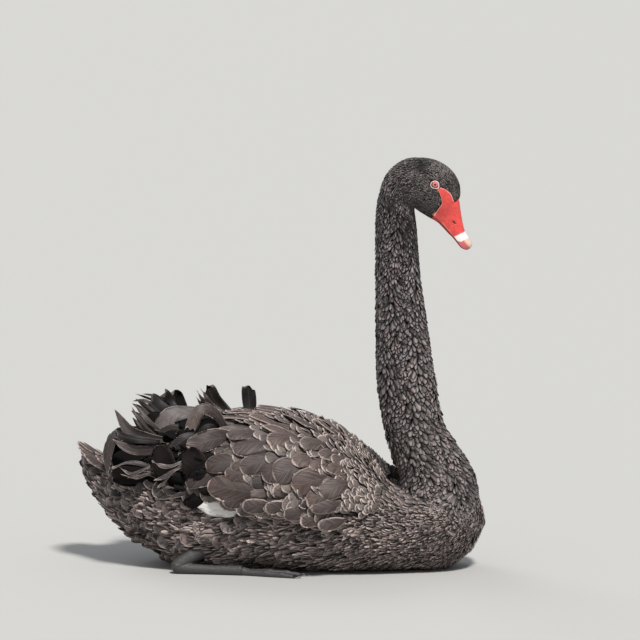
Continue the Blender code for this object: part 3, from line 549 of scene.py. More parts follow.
def trunk_feathers():
    """Rows from the breast to the stern, feathers growing from 6 mm at the very front to 36 mm on
    the side; none where the neck or the folded wings cover them."""
    rng = np.random.default_rng(5)

    def size_at(s):
        """Length of a feather by its place along the trunk."""
        return np.interp(s, (-0.29, -0.27, -0.24, -0.18, -0.10, 0.05, 0.20, 0.285),
                         (0.006, 0.010, 0.013, 0.019, 0.029, 0.036, 0.031, 0.020))

    rows = rows_along(-0.2913, 0.287, lambda s: size_at(s) * 0.40)
    at = roots_in_rows(trunk_flesh, rows, lambda s: size_at(s) * 0.48, lambda s: -180.0,
                       lambda s: 180.0, rng, 0.3)
    at[:, 0] += rng.uniform(-1, 1, len(at)) * size_at(at[:, 0]) * 0.14
    p = trunk_surface(at[:, 0], at[:, 1])
    a = np.abs(at[:, 1])
    covered = (np.abs(p[:, 0]) < 0.135) & (a < wing_bottom(p[:, 0]) - 8)
    covered |= (p[:, 0] < -0.13) & (p[:, 0] > -0.185) & (a < 60)
    s, a = at[~covered & (over_neck(p) > np.where(p[:, 0] > BREAST_POLE, -0.007, -0.002))].T
    size = size_at(s) * rng.uniform(0.85, 1.2, len(s))
    loose = np.interp(s, (-0.2, 0.0, 0.12, 0.25), (0.5, 1.0, 1.7, 1.3))
    raised = 0.0006 + size * rng.uniform(0.02, 0.09, len(s)) * loose
    spine, side, up = spines_on(trunk_flesh, s, a, size, TRUNK_STEP, size * 0.16, raised,
                                ROUND_TUFT[:, 0], drift=rng.normal(0, 5, len(s)) * loose,
                                roll=rng.normal(0, 12, len(s)) * loose)
    tone = np.clip(rng.normal(1.0, 0.35, len(s)) * np.interp(s, (0.05, 0.15), (1, 0.7)), 0.2, 1.9)
    return feathers("trunk_plumage", spine, side, up, size * 0.72, np.stack([s, a], -1),
                    rng.uniform(0, 1, len(s)), tone, ROUND_TUFT, cup=0.12, fray=0.12)


def node_tools(tree):
    """Functions that add nodes to a tree and give back their outputs: the parts of an attribute,
    a sum, a mix of two colours and a noise."""
    def feed(socket, value):
        """Sets a socket to a plain value or links it to another node's output."""
        if isinstance(value, (int, float, tuple)):
            socket.default_value = value
        else:
            tree.links.new(value, socket)

    def attribute(name):
        """The three parts of a vector kept on the mesh."""
        node = tree.nodes.new("ShaderNodeAttribute")
        node.attribute_name = name
        parts = tree.nodes.new("ShaderNodeSeparateXYZ")
        tree.links.new(node.outputs["Vector"], parts.inputs[0])
        return parts.outputs

    def maths(operation, *values, clamp=False):
        """One operation on numbers, held between 0 and 1 where it is clamped."""
        node = tree.nodes.new("ShaderNodeMath")
        node.operation = operation
        node.use_clamp = clamp
        for socket, value in zip(node.inputs, values):
            feed(socket, value)
        return node.outputs[0]

    def mixed(amount, low, high, blend="MIX"):
        """Two colours mixed by an amount from 0 to 1, or multiplied where the blend says so."""
        node = tree.nodes.new("ShaderNodeMix")
        node.data_type = "RGBA"
        node.blend_type = blend
        for socket, value in ((node.inputs[0], amount), (node.inputs[6], low), (node.inputs[7], high)):
            feed(socket, value)
        return node.outputs[2]

    def noise(place, scale, detail):
        """Smooth noise about one half, scale cells to a unit of length."""
        node = tree.nodes.new("ShaderNodeTexNoise")
        node.inputs["Scale"].default_value = scale
        node.inputs["Detail"].default_value = detail
        tree.links.new(place, node.inputs["Vector"])
        return node.outputs["Fac"]

    return attribute, maths, mixed, noise


def vane_look():
    """Node group: colour and height of a feather from its vane attributes.

    The rim is a band of Edge Width millimetres, frayed by streaks that run out along the barbs, with a
    comb of longer ones up to six widths in. Barbs stand Barb Step millimetres apart and slant back from
    the shaft, and the two halves of a vane have streaks of their own. The body's colour runs from Dark
    at the root to Middle with the tone, the dark towards the root partly a painted shade and the light
    towards the tip partly a painted sheen, some feathers leaning to Cool, and the rim and the shaft take
    the Edge colour.
    """
    group = bpy.data.node_groups.new("vane_look", "ShaderNodeTree")
    for name, kind, value in (
        ("Dark", "NodeSocketColor", (0.02, 0.018, 0.018, 1)),
        ("Middle", "NodeSocketColor", (0.07, 0.06, 0.055, 1)),
        ("Cool", "NodeSocketColor", (0.07, 0.07, 0.075, 1)),
        ("Edge", "NodeSocketColor", (0.3, 0.27, 0.24, 1)),
        ("Edge Width", "NodeSocketFloat", 1.0),
        ("Barb Step", "NodeSocketFloat", 1.4),
        ("Barb Depth", "NodeSocketFloat", 0.35),
        ("Streak", "NodeSocketFloat", 1.5),
        ("Shaft", "NodeSocketFloat", 0.22),
    ):
        group.interface.new_socket(name, in_out="INPUT", socket_type=kind).default_value = value
    group.interface.new_socket("Color", in_out="OUTPUT", socket_type="NodeSocketColor")
    group.interface.new_socket("Height", in_out="OUTPUT", socket_type="NodeSocketFloat")
    given = group.nodes.new("NodeGroupInput").outputs
    result = group.nodes.new("NodeGroupOutput").inputs
    attribute, maths, mixed, noise = node_tools(group)

    def streaks(x, y, detail):
        """Noise read at a flat place of its own."""
        spot = group.nodes.new("ShaderNodeCombineXYZ")
        group.links.new(x, spot.inputs[0])
        group.links.new(y, spot.inputs[1])
        return noise(spot.outputs[0], 1.0, detail)

    def along_barbs(pace, slow, detail):
        """Streaks that change at a pace from barb to barb and slowly along each barb."""
        return streaks(maths("MULTIPLY_ADD", slant, pace, half), maths("MULTIPLY", mm_across, slow),
                       detail)

    inward, along, chance = attribute("vane")
    mm_across, mm_along, tone = attribute("vane_mm")
    shift = maths("MULTIPLY", chance, 91.0)
    slant = maths("MULTIPLY_ADD", maths("ABSOLUTE", mm_across), -1.5, mm_along)
    half = maths("MULTIPLY_ADD", maths("GREATER_THAN", mm_across, 0.0), 17.0, shift)
    blotch = streaks(maths("MULTIPLY_ADD", mm_along, 0.12, shift), maths("MULTIPLY", mm_across, 0.12),
                     2.0)
    fine = along_barbs(1.1, 0.05, 3.0)
    worn = maths("MULTIPLY_ADD", chance, 0.4, 0.85)
    worn = maths("MULTIPLY_ADD", maths("SUBTRACT", fine, 0.5), 2.4, worn)
    mask = maths("SUBTRACT", worn, maths("DIVIDE", inward, given["Edge Width"]))
    mask = maths("MULTIPLY", mask, 1.8, clamp=True)
    comb = maths("MULTIPLY_ADD", along_barbs(1.9, 0.04, 1.0), 7.0, -3.9, clamp=True)
    reach = maths("DIVIDE", inward, maths("MULTIPLY", given["Edge Width"], 6.0))
    reach = maths("SUBTRACT", 1.0, reach, clamp=True)
    comb = maths("MULTIPLY", comb, maths("MULTIPLY", reach, 0.55))
    shown = maths("MULTIPLY_ADD", tone, 1.3, 0.1, clamp=True)
    mask = maths("MULTIPLY", maths("MAXIMUM", mask, comb), shown)
    warped = maths("MULTIPLY_ADD", blotch, 3.0, slant)
    barb = maths("SINE", maths("DIVIDE", maths("MULTIPLY", warped, 2 * math.pi), given["Barb Step"]))
    barb = maths("MULTIPLY", barb, given["Barb Depth"])
    plain = mixed(maths("GREATER_THAN", maths("FRACT", maths("MULTIPLY", chance, 7.3)), 0.62),
                  given["Middle"], given["Cool"])
    broad = maths("SUBTRACT", along_barbs(0.42, 0.03, 2.0), 0.5)
    lit = maths("MULTIPLY", maths("MULTIPLY_ADD", fine, 1.3, -0.1), tone)
    lit = maths("MULTIPLY", lit, maths("MULTIPLY_ADD", broad, given["Streak"], 1.0))
    lit = maths("MULTIPLY", lit, maths("MULTIPLY_ADD", blotch, 1.2, 0.45))
    # Darker towards the root and lighter towards the tip: partly painted shade and painted sheen.
    lit = maths("MULTIPLY", lit, maths("MULTIPLY_ADD", along, 1.1, 0.15), clamp=True)
    body = mixed(mask, mixed(lit, given["Dark"], plain), given["Edge"])
    shade = group.nodes.new("ShaderNodeCombineColor")
    for socket in shade.inputs[:3]:
        group.links.new(maths("MULTIPLY_ADD", barb, 0.35, 1.0), socket)
    body = mixed(1.0, body, shade.outputs[0], "MULTIPLY")
    shaft = maths("SUBTRACT", 1.0, maths("MULTIPLY", maths("ABSOLUTE", mm_across), 2.4), clamp=True)
    body = mixed(maths("MULTIPLY", shaft, given["Shaft"]), body, given["Edge"])
    group.links.new(body, result["Color"])
    group.links.new(maths("ADD", barb, maths("MULTIPLY", shaft, 0.8)), result["Height"])
    return group


VANE_LOOK = vane_look()


def plumage_paint(name, dark, middle, cool, edge, edge_width, roughness, barb_step, barb_depth,
                  sheen=0.05, bump=0.35, gloss=0.35, streak=1.5, shaft=0.15):
    """A plumage material: the vane group's colour and barbs on a soft, slightly glossy shader."""
    paint, tree, shader = plain_paint(name, middle, roughness)
    look = tree.nodes.new("ShaderNodeGroup")
    look.node_tree = VANE_LOOK
    for socket, value in (("Dark", (*dark, 1)), ("Middle", (*middle, 1)), ("Cool", (*cool, 1)),
                          ("Edge", (*edge, 1)), ("Edge Width", edge_width), ("Barb Step", barb_step),
                          ("Barb Depth", barb_depth), ("Streak", streak), ("Shaft", shaft)):
        look.inputs[socket].default_value = value
    tree.links.new(look.outputs["Color"], shader.inputs["Base Color"])
    relief = tree.nodes.new("ShaderNodeBump")
    relief.inputs["Strength"].default_value = bump
    relief.inputs["Distance"].default_value = 0.0004
    tree.links.new(look.outputs["Height"], relief.inputs["Height"])
    tree.links.new(relief.outputs["Normal"], shader.inputs["Normal"])
    shader.inputs["Sheen Weight"].default_value = sheen
    shader.inputs["Sheen Roughness"].default_value = 0.4
    shader.inputs["Specular IOR Level"].default_value = gloss
    return paint


def flank_tufts(name, first, last, seed):
    """Slim loose tufts over the broader feathers, 8 to 20 mm long, their lie straying by up to
    30 degrees in broad patches."""
    rng = np.random.default_rng(seed)

    def size_at(s):
        """Length of a tuft by its place along the trunk."""
        return np.interp(s, (-0.28, -0.20, -0.10, 0.05, 0.25), (0.008, 0.012, 0.016, 0.020, 0.017))

    rows = rows_along(first, last, lambda s: size_at(s) * 0.34)
    at = np.concatenate([
        roots_in_rows(trunk_flesh, rows, lambda s: size_at(s) * 0.34, lambda s: 50.0 * side,
                      lambda s: 150.0 * side, rng, 0.45) for side in (1, -1)])
    at[:, 0] += rng.uniform(-1, 1, len(at)) * 0.004
    p = trunk_surface(at[:, 0], at[:, 1])
    a = np.abs(at[:, 1])
    covered = (p[:, 0] < 0.150) & (p[:, 0] > -0.150) & (a < wing_bottom(p[:, 0]) + 4)
    s, a = at[~covered & (over_neck(p) > -0.002)].T
    size = size_at(s) * rng.uniform(0.7, 1.3, len(s))
    patch = np.sin(s * 70 + a * 0.10) + np.sin(s * 41 - a * 0.07 + 1.7)
    pace = np.degrees(size / 0.12)
    raised = 0.0020 + size * rng.uniform(0.03, 0.16, len(s)) * (1 + 0.4 * patch)
    spine, side, up = spines_on(trunk_flesh, s, a, size, TRUNK_STEP, 0.001, raised, ROUND_TUFT[:, 0],
                                drift=pace * (0.25 * patch + rng.normal(0, 0.22, len(s))),
                                curve=1.2, roll=rng.normal(0, 30, len(s)))
    tone = rng.normal(0.85, 0.45, len(s)) + np.interp(s, (0, 0.12), (0.2, 0.45)) * patch
    width = size * rng.uniform(0.22, 0.42, len(s))
    return feathers(name, spine, side, up, width, np.stack([s, a], -1), rng.uniform(0, 1, len(s)),
                    np.clip(tone, 0.05, 2.4), ROUND_TUFT, fray=0.3)


brown_plumage = plumage_paint(
    "brown_plumage", dark=(0.014, 0.011, 0.010), middle=(0.245, 0.188, 0.173),
    cool=(0.215, 0.181, 0.177), edge=(0.34, 0.275, 0.255),
    edge_width=1.8, roughness=0.62, barb_step=1.2, barb_depth=0.28, streak=2.5,
)
pale_tufts = plumage_paint(
    "pale_tufts", dark=(0.014, 0.011, 0.010), middle=(0.58, 0.465, 0.432),
    cool=(0.485, 0.407, 0.388), edge=(0.030, 0.023, 0.022),
    edge_width=0.6, roughness=0.62, barb_step=1.1, barb_depth=0.2, streak=2.5,
)
trunk_plumage = trunk_feathers()
trunk_plumage.data.materials.append(brown_plumage)
for piece_name, first, last, seed in (
    ("fore_tufts", -0.285, -0.02, 11),
    ("rear_tufts", -0.015, 0.270, 12),
):
    piece = flank_tufts(piece_name, first, last, seed)
    piece.data.materials.append(pale_tufts)


# Neck and head plumage: small dark feathers with grey curling tips on the neck, shrinking to short fine
# ones on the head, which leave the eyes and the base of the bill bare. The grey is partly a painted
# highlight, and a painted shade darkens each feather's rim. They root in the skin.
EYE_PLACE = (0.2372, 0.5623)    # x and z before the head's turn
EYE_BARE = 0.0063               # radius of the bare skin round an eye
FOREHEAD = 0.006                # half width of the feathered strip between the lores
LORE = np.array([
    # bare skin from the side of the bill up to the eye, x and z before the head's turn
    (0.2416, 0.5556), (0.2442, 0.5582), (0.2487, 0.5570), (0.2527, 0.5550),
    (0.2562, 0.5517), (0.2593, 0.5482), (0.2611, 0.5438), (0.2626, 0.5387),
    (0.2649, 0.5351), (0.2663, 0.5293), (0.2578, 0.5205), (0.2474, 0.5125),
    (0.2376, 0.5136), (0.2351, 0.5167), (0.2380, 0.5217), (0.2419, 0.5276),
    (0.2449, 0.5315), (0.2467, 0.5351), (0.2461, 0.5413), (0.2449, 0.5464),
    (0.2436, 0.5508),
])
BILL_BASE = np.array([
    # the face behind the bill, from the forehead round to the throat
    (0.2652, 0.5350), (0.2668, 0.5402), (0.2800, 0.5400), (0.2600, 0.4900), (0.2430, 0.5010),
    (0.2385, 0.5125),
])
HEAD_TONES_AND_PAINTED_LIGHT = (
    # x, z, reach and change of tone, partly the plumage's own and partly painted light and shade: darker
    # over the crown and behind the eye, on the nape and throat and down the front of the neck under the
    # jaw, lighter on the brow and cheek
    (0.219, 0.589, 0.008, -1.1), (0.227, 0.575, 0.007, -1.2), (0.214, 0.560, 0.008, -0.5),
    (0.175, 0.540, 0.011, -0.9), (0.193, 0.507, 0.012, -0.8), (0.246, 0.584, 0.014, 1.7),
    (0.204, 0.574, 0.009, 0.8), (0.256, 0.572, 0.008, 0.5), (0.222, 0.538, 0.013, 0.3),
    (0.199, 0.500, 0.010, -0.6), (0.203, 0.480, 0.010, -0.6), (0.206, 0.460, 0.010, -0.5),
    (0.209, 0.438, 0.010, -0.4),
)


def inside_outline(x, z, outline):
    """Whether points lie inside an outline: an odd number of its edges pass to their right."""
    inside = np.zeros(x.shape, bool)
    for (x0, z0), (x1, z1) in zip(outline, np.roll(outline, -1, axis=0)):
        crosses = (z0 > z) != (z1 > z)
        inside ^= crosses & (x < x0 + (z - z0) * (x1 - x0) / (z1 - z0 + 1e-12))
    return inside


def neck_feathers(name, top, bottom, seed):
    """Rows down the neck between two sections, feathers growing from 2.6 mm at the bill to 13.5 mm
    at the foot of the neck. Their lie swirls a little in broad patches."""
    rng = np.random.default_rng(seed)
    pace = np.linalg.norm(np.diff(neck_surface(np.arange(0, 28.01, 0.1), 90.0), axis=0), axis=1) * 10

    def size_at(s):
        """Length of a feather by its section."""
        return np.interp(s, (0, 3, 8, 11, 13, 17, 20, 23, 28),
                         (0.0026, 0.0034, 0.0048, 0.0066, 0.0086, 0.0120, 0.0135, 0.0110, 0.0095))

    def row_gap(s):
        """Sections to the next row: under half a feather, over the metres to a section there."""
        return size_at(s) * 0.42 / max(pace[min(int(s * 10), len(pace) - 1)], 0.004)

    rows = rows_along(top, bottom, row_gap)
    at = roots_in_rows(neck_flesh, rows, lambda s: size_at(s) * 0.46, lambda s: -180.0,
                       lambda s: 180.0, rng, 0.35)
    p = neck_surface(at[:, 0], at[:, 1])
    flat = head_turned(p, -turn_share(at[:, 0]))
    bare = inside_outline(flat[:, 0], flat[:, 2], LORE) & (np.abs(flat[:, 1]) > FOREHEAD)
    bare |= inside_outline(flat[:, 0], flat[:, 2], BILL_BASE)
    bare |= np.hypot(flat[:, 0] - EYE_PLACE[0], flat[:, 2] - EYE_PLACE[1]) < EYE_BARE
    sunk = over_trunk(p) < np.where(p[:, 0] > BREAST_POLE, -0.008, -0.003)
    keep = ~(bare | (sunk & (at[:, 0] > NECK_JOINS + 1)))
    (s, a), flat = at[keep].T, flat[keep]
    size = size_at(s) * rng.uniform(0.8, 1.25, len(s))
    swirl = np.sin(s * 1.9 + np.radians(a) * 3) + np.sin(s * 0.9 - np.radians(a) * 5 + 2)
    curl = np.interp(s, (0, 8, 12, 20, 27), (0.02, 0.04, 0.10, 0.08, 0.05))
    raised = 0.0003 + size * curl * rng.uniform(0.3, 1.4, len(s)) * (1 + 0.25 * swirl)
    drift = (7 * swirl + rng.normal(0, 5, len(s))) * np.interp(s, (8, 12), (0.3, 1))
    spine, side, up = spines_on(neck_flesh, s, a, size * 1.1, NECK_STEP, size * 0.12, raised,
                                ROUND_TUFT[:, 0], drift=drift, curve=1.8,
                                roll=rng.normal(0, 14, len(s)) + 7 * swirl)
    tone = rng.normal(0, 1, len(s)) * np.interp(s, (9, 12), (0.60, 0.44)) + 1.0 + 0.12 * swirl
    # Bands of tone across the lower neck: painted light and shade of folds in its plumage.
    folds = np.sin(flat[:, 2] * 460 + 5 * np.sin(flat[:, 0] * 75) + 2 * np.sin(np.radians(a) * 7))
    tone = tone + 0.35 * folds * np.interp(s, (18, 21), (0, 1))
    # Patches of tone from the table: partly painted light and shade on the head and down the front of
    # the neck.
    for x, z, reach, change in HEAD_TONES_AND_PAINTED_LIGHT:
        tone = tone + change * np.exp(-((flat[:, 0] - x) ** 2 + (flat[:, 2] - z) ** 2) / reach**2)
    slim = np.interp(s, (0, 9, 12, 15, 22), (0.60, 0.46, 0.44, 0.56, 0.60))
    slim = slim * rng.uniform(0.75, 1.2, len(s))
    return feathers(name, spine, side, up, size * slim, np.stack([s, a], -1),
                    rng.uniform(0, 1, len(s)), np.clip(tone, 0.08, 2.0), ROUND_TUFT,
                    thick=0.00035, cup=0.16)


# In these three paints each feather's near-black rim is painted shade in the gaps between feathers, and
# its light middle towards the tip is partly a painted highlight.
black_plumage = plumage_paint(
    "black_plumage", dark=(0.004, 0.003, 0.003), middle=(0.345, 0.288, 0.281),
    cool=(0.282, 0.250, 0.257), edge=(0.004, 0.003, 0.0035),
    edge_width=0.95, roughness=0.50, barb_step=1.2, barb_depth=0.3,
)
head_paint = plumage_paint(
    "head_plumage", dark=(0.005, 0.004, 0.004), middle=(0.275, 0.232, 0.222),
    cool=(0.228, 0.204, 0.204), edge=(0.004, 0.003, 0.003),
    edge_width=0.50, roughness=0.58, barb_step=0.8, barb_depth=0.3,
)
breast_paint = plumage_paint(
    "breast_plumage", dark=(0.010, 0.008, 0.008), middle=(0.290, 0.240, 0.232),
    cool=(0.250, 0.220, 0.222), edge=(0.030, 0.025, 0.024),
    edge_width=0.6, roughness=0.58, barb_step=1.3, barb_depth=0.3,
)
for piece_name, top, bottom, seed, paint in (
    ("head_plumage", 0.15, 11.0, 7, head_paint),
    ("neck_plumage", 11.0, 19.5, 8, black_plumage),
    ("breast_plumage", 19.5, 27.0, 9, breast_paint),
):
    piece = neck_feathers(piece_name, top, bottom, seed)
    piece.data.materials.append(paint)


# Wing coverts: rounded feathers with worn pale rims all over the folded wing, small and crowded at
# the wrist, larger to the rear, flat along the back. Broader ones, laid as in the photograph, lap
# over them: slim smooth scapulars beside the back and wide scallops on the side.
WIDE_TIP = np.array([
    (0, 0.38), (0.10, 0.58), (0.22, 0.80), (0.36, 0.95), (0.52, 1.0), (0.68, 0.98), (0.80, 0.90),
    (0.885, 0.76), (0.95, 0.55), (0.985, 0.36), (1, 0.18),
])
SMALL_TIP = np.array([(0, 0.42), (0.35, 0.92), (0.62, 1.0), (0.82, 0.90), (0.95, 0.56), (1, 0.2)])
BROAD_COVERTS = np.array([
    # root and tip in the picture, across and down, then width, in pixels; tone
    (330, 440, 283, 419, 15, 1.0), (345, 444, 315, 426, 14, 1.2), (355, 450, 322, 438, 14, 1.2),
    (300, 440, 250, 420, 14, 1.1), (315, 450, 263, 431, 13, 1.1), (275, 425, 221, 421, 14, 0.9),
    (290, 414, 252, 405, 11, 1.0), (262, 412, 225, 409, 11, 0.8), (292, 415, 238, 409, 12, 0.9),
    (278, 440, 233, 452, 31, 1.0), (262, 436, 228, 440, 22, 0.8), (303, 438, 268, 447, 25, 1.3),
    (330, 446, 300, 450, 21, 1.2), (343, 455, 317, 458, 18, 1.3), (305, 463, 274, 478, 32, 1.2),
    (290, 460, 262, 478, 27, 0.5), (275, 458, 241, 472, 25, 0.8), (262, 462, 232, 472, 22, 0.7),
    (330, 480, 293, 490, 32, 1.2), (335, 492, 306, 502, 25, 1.1), (350, 485, 320, 496, 24, 1.4),
    (345, 505, 310, 508, 16, 1.1), (262, 494, 209, 484, 30, 0.8), (222, 474, 187, 484, 26, 0.4),
    (240, 462, 207, 468, 24, 0.4), (262, 478, 226, 476, 22, 0.8), (318, 462, 292, 466, 21, 1.2),
    (335, 466, 308, 468, 19, 1.3), (352, 470, 325, 472, 17, 1.4), (350, 462, 330, 462, 15, 1.4),
    (250, 500, 224, 503, 20, 0.9), (270, 505, 244, 503, 18, 0.9), (290, 508, 266, 508, 17, 0.9),
    (308, 512, 284, 512, 17, 1.0), (325, 518, 300, 520, 17, 1.0), (345, 520, 318, 524, 15, 1.1),
])
QUILL_SPAN = (0.025, 0.105)     # the white feathers' place along the trunk, left bare by the coverts
QUILL_TOP = 80                  # degrees round the trunk to their upper edge


def wing_surface(s, a):
    """The folded wing: the trunk's surface raised by the wing's depth."""
    p, n = frame_on(trunk_surface, s, a, TRUNK_STEP)
    return p + n * wing_depth(p[..., 0], a)[..., None]


def picture_place(p):
    """Where points stand in the picture, in pixels across and down: half the picture + reach to
    the right or down of the camera's axis * pixels to a metre * view distance / own distance."""
    way = p - CAMERA_PLACE
    share = -VIEW_DISTANCE / (way @ VIEW_BACK) * PICTURE / VIEW_WIDTH
    return PICTURE / 2 + np.stack([way @ VIEW_RIGHT, -(way @ VIEW_UP)], -1) * share[..., None]


def seen_at(across, down, y):
    """Points at a place in the picture that stand y to the left of the bird's middle: the camera's
    place + the way through the pixel, made as long as that y needs."""
    reach = VIEW_WIDTH / PICTURE
    way = (-VIEW_BACK * VIEW_DISTANCE + VIEW_RIGHT * ((across - PICTURE / 2) * reach)[..., None]
           - VIEW_UP * ((down - PICTURE / 2) * reach)[..., None])
    return CAMERA_PLACE + way * ((y - CAMERA_PLACE[1]) / way[..., 1])[..., None]


def on_right_wing(spots):
    """Places along and degrees round the right wing that stand nearest to spots in the picture."""
    places = np.stack(np.meshgrid(np.linspace(-0.16, 0.24, 201), np.linspace(-112, -2, 221),
                                  indexing="ij"), -1).reshape(-1, 2)
    shown = picture_place(wing_surface(*places.T))
    return np.array([places[np.argmin(((shown - spot) ** 2).sum(1))] for spot in spots])


def covert_feathers(side, seed):
    """Rows from the wrist to the rear, 13 to 46 mm long."""
    rng = np.random.default_rng(seed)
    sign = 1 if side == "left" else -1

    def size_at(s):
        """Length of a covert by its place along the wing."""
        return np.interp(s, (-0.17, -0.13, -0.09, -0.05, 0.0, 0.06, 0.12),
                         (0.013, 0.018, 0.023, 0.029, 0.040, 0.046, 0.044))

    rows = rows_along(-0.160, 0.150, lambda s: size_at(s) * 0.34)
    s, a = roots_in_rows(wing_surface, rows, lambda s: size_at(s) * 0.44, lambda s: 1.5 * sign,
                         lambda s: (wing_bottom(-s) - 1) * sign, rng, 0.2).T
    over_quills = (s > QUILL_SPAN[0]) & (s < QUILL_SPAN[1]) & (np.abs(a) > QUILL_TOP)
    s, a = s[~over_quills], a[~over_quills]
    s = s + rng.uniform(-0.1, 0.1, len(s)) * size_at(s)
    size = size_at(s) * rng.uniform(0.85, 1.15, len(s))
    slim = np.interp(np.abs(a), (4, 20, 40, 92), (0.50, 0.56, 0.74, 0.70))
    slim = slim * np.interp(s, (-0.13, -0.09, -0.05, -0.02), (1.1, 1.35, 1.25, 1.0))
    loose = np.interp(s, (-0.14, -0.08, -0.02, 0.05), (1.8, 2.4, 1.2, 0.6))
    down = np.interp(np.abs(a), (8, 30, 60, 92), (1, 8, 7, 0)) * sign
    raised = 0.0014 + size * rng.uniform(0.04, 0.12, len(s)) * loose
    spine, across, up = spines_on(wing_surface, s, a, size, TRUNK_STEP, size * 0.08, raised,
                                  SMALL_TIP[:, 0], drift=down + rng.normal(0, 2.5, len(s)) * loose,
                                  curve=2.0, roll=rng.normal(0, 6, len(s)) * loose)
    tone = rng.normal(1.0, 0.35, len(s)) * np.interp(s, (-0.05, 0.0, 0.08), (1.4, 1.1, 0.6))
    return feathers(f"coverts_{side}", spine, across, up, size * slim, np.stack([s, a], -1),
                    rng.uniform(0, 1, len(s)), np.clip(tone, 0.15, 2.2), SMALL_TIP,
                    across=5, thick=0.0005, cup=0.16, wave=0.0008, fray=0.10, patch=0.008)


def broad_feathers(side, seed):
    """The broad coverts of the table on the right wing, and the same ones shifted a little by
    chance on the left. Height = -sunk + (top + sunk) * v ** 0.9 - droop * v ** 6."""
    rng = np.random.default_rng(seed)
    n, sunk, droop = len(BROAD_COVERTS), 0.0015, 0.0016
    root, tip = on_right_wing(BROAD_COVERTS[:, 0:2]), on_right_wing(BROAD_COVERTS[:, 2:4])
    width = BROAD_COVERTS[:, 4] * VIEW_WIDTH / PICTURE
    if side == "left":
        shift = rng.normal(0, 1, (n, 2)) * (0.004, 2.5)
        root, tip = (root + shift) * (1, -1), (tip + shift) * (1, -1)
        width = width * rng.uniform(0.9, 1.1, n)
    v = WIDE_TIP[:, 0]
    places = root[:, None] + (tip - root)[:, None] * v[:, None]
    bow = rng.normal(0, 1.5, n)[:, None] * v * (1 - v) * 4
    top = rng.uniform(0.0055, 0.0105, n)[:, None]
    height = -sunk + (top + sunk) * v**0.9 - droop * v**6
    spine, across, up = laid_on(wing_surface, places[..., 0], places[..., 1] + bow, TRUNK_STEP,
                                height, rng.normal(0, 10, n)[:, None] * v)
    tone = BROAD_COVERTS[:, 5] * rng.uniform(0.9, 1.1, n)
    return feathers(f"broad_coverts_{side}", spine, across, up, width, root, rng.uniform(0, 1, n),
                    tone, WIDE_TIP, across=7, thick=0.0006, cup=0.20, wave=0.0020, fray=0.14,
                    patch=0.04)


covert_paint = plumage_paint(
    "covert_plumage", dark=(0.018, 0.012, 0.011), middle=(0.108, 0.073, 0.064),
    cool=(0.099, 0.075, 0.071), edge=(0.44, 0.345, 0.31),
    edge_width=2.8, roughness=0.55, barb_step=1.8, barb_depth=0.35, streak=7.0,
)
small_paint = plumage_paint(
    "small_covert_plumage", dark=(0.018, 0.014, 0.013), middle=(0.152, 0.120, 0.110),
    cool=(0.140, 0.118, 0.112), edge=(0.50, 0.42, 0.385),
    edge_width=2.1, roughness=0.55, barb_step=1.4, barb_depth=0.3, streak=4.0,
)
for side, seed in (("left", 31), ("right", 32)):
    piece = covert_feathers(side, seed)
    piece.data.materials.append(small_paint)
    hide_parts(f"wing_{side}")
    piece = broad_feathers(side, seed + 2)
    piece.data.materials.append(covert_paint)


# Ruffled feathers: the long broad ribbons at the rear of each wing that stand up, twist and curl over
# the stern, near black with a soft grey sheen. They are rooted in short dark feathers; these and the
# feathers in the hollows behind the ribbons are painted near black as painted shade.
BLUNT_TIP = np.array([
    (0, 0.45), (0.08, 0.55), (0.16, 0.66), (0.25, 0.77), (0.35, 0.87), (0.45, 0.94), (0.55, 0.98),
    (0.65, 1.0), (0.75, 1.0), (0.84, 0.98), (0.91, 0.95), (0.96, 0.88), (0.99, 0.80), (1, 0.68),
])
LEAF_TIP = np.array([
    (0, 0.35), (0.08, 0.50), (0.16, 0.66), (0.25, 0.80), (0.35, 0.92), (0.45, 0.99), (0.55, 1.0),
    (0.65, 0.94), (0.74, 0.82), (0.82, 0.66), (0.89, 0.47), (0.945, 0.30), (0.98, 0.17), (1, 0.08),
])
BROAD_RUFFLES = np.array([
    # four places in the picture with how far left they stand in metres, then the width, the
    # degrees turned away from the viewer at root and tip, the cup and the tone
    (251, 421, .030, 250, 409, .034, 249, 398, .036, 248, 388, .034, .026, 10, 0, -.25, .15),
    (238, 423, .030, 225, 412, .036, 215, 402, .038, 208, 388.5, .036, .025, 10, -10, -.2, .12),
    (230, 423, .026, 216, 414, .030, 208, 406, .032, 202, 396, .030, .019, 0, 20, .2, .2),
    (190, 428, .020, 182, 415, .026, 177, 404, .028, 173, 393, .026, .034, 10, 0, -.2, .04),
    (187, 430, .010, 174, 416, .014, 166, 406, .016, 160, 396, .016, .040, 10, 0, .15, .03),
    (184, 434, .000, 170, 420, .004, 159, 411, .004, 149, 402, .004, .040, 10, 0, .15, .03),
    (204, 412, -.02, 186, 413, -.03, 170, 417, -.04, 158, 432, -.045, .030, 25, 20, .1, 1.9),
    (194, 436, -.04, 182, 430, -.045, 171, 429, -.05, 160, 435, -.055, .018, 10, 0, .2, .25),
    (226, 428, -.06, 214, 412, -.07, 199, 410, -.085, 190, 430, -.09, .022, 20, 10, .15, 1.1),
    (224, 420, -.05, 211, 414, -.06, 199, 417, -.07, 192, 428, -.075, .012, 20, 10, .15, 1.6),
    (230, 434, -.055, 215, 425, -.06, 203, 426, -.07, 192, 438, -.075, .030, 10, 0, .2, .35),
    (240, 440, -.085, 222, 438, -.10, 205, 442, -.11, 190, 450, -.115, .034, 12, 0, .1, .75),
    (142, 436, -.06, 120, 430, -.07, 109, 446, -.08, 108, 472, -.085, .017, 25, 40, .2, .5),
    (204, 437, -.08, 192, 437, -.09, 182, 441, -.095, 174, 447, -.095, .022, 10, 0, .3, .3),
    (160, 442, -.07, 142, 440, -.08, 128, 438, -.085, 116, 434, -.08, .016, 10, 0, .1, .2),
])
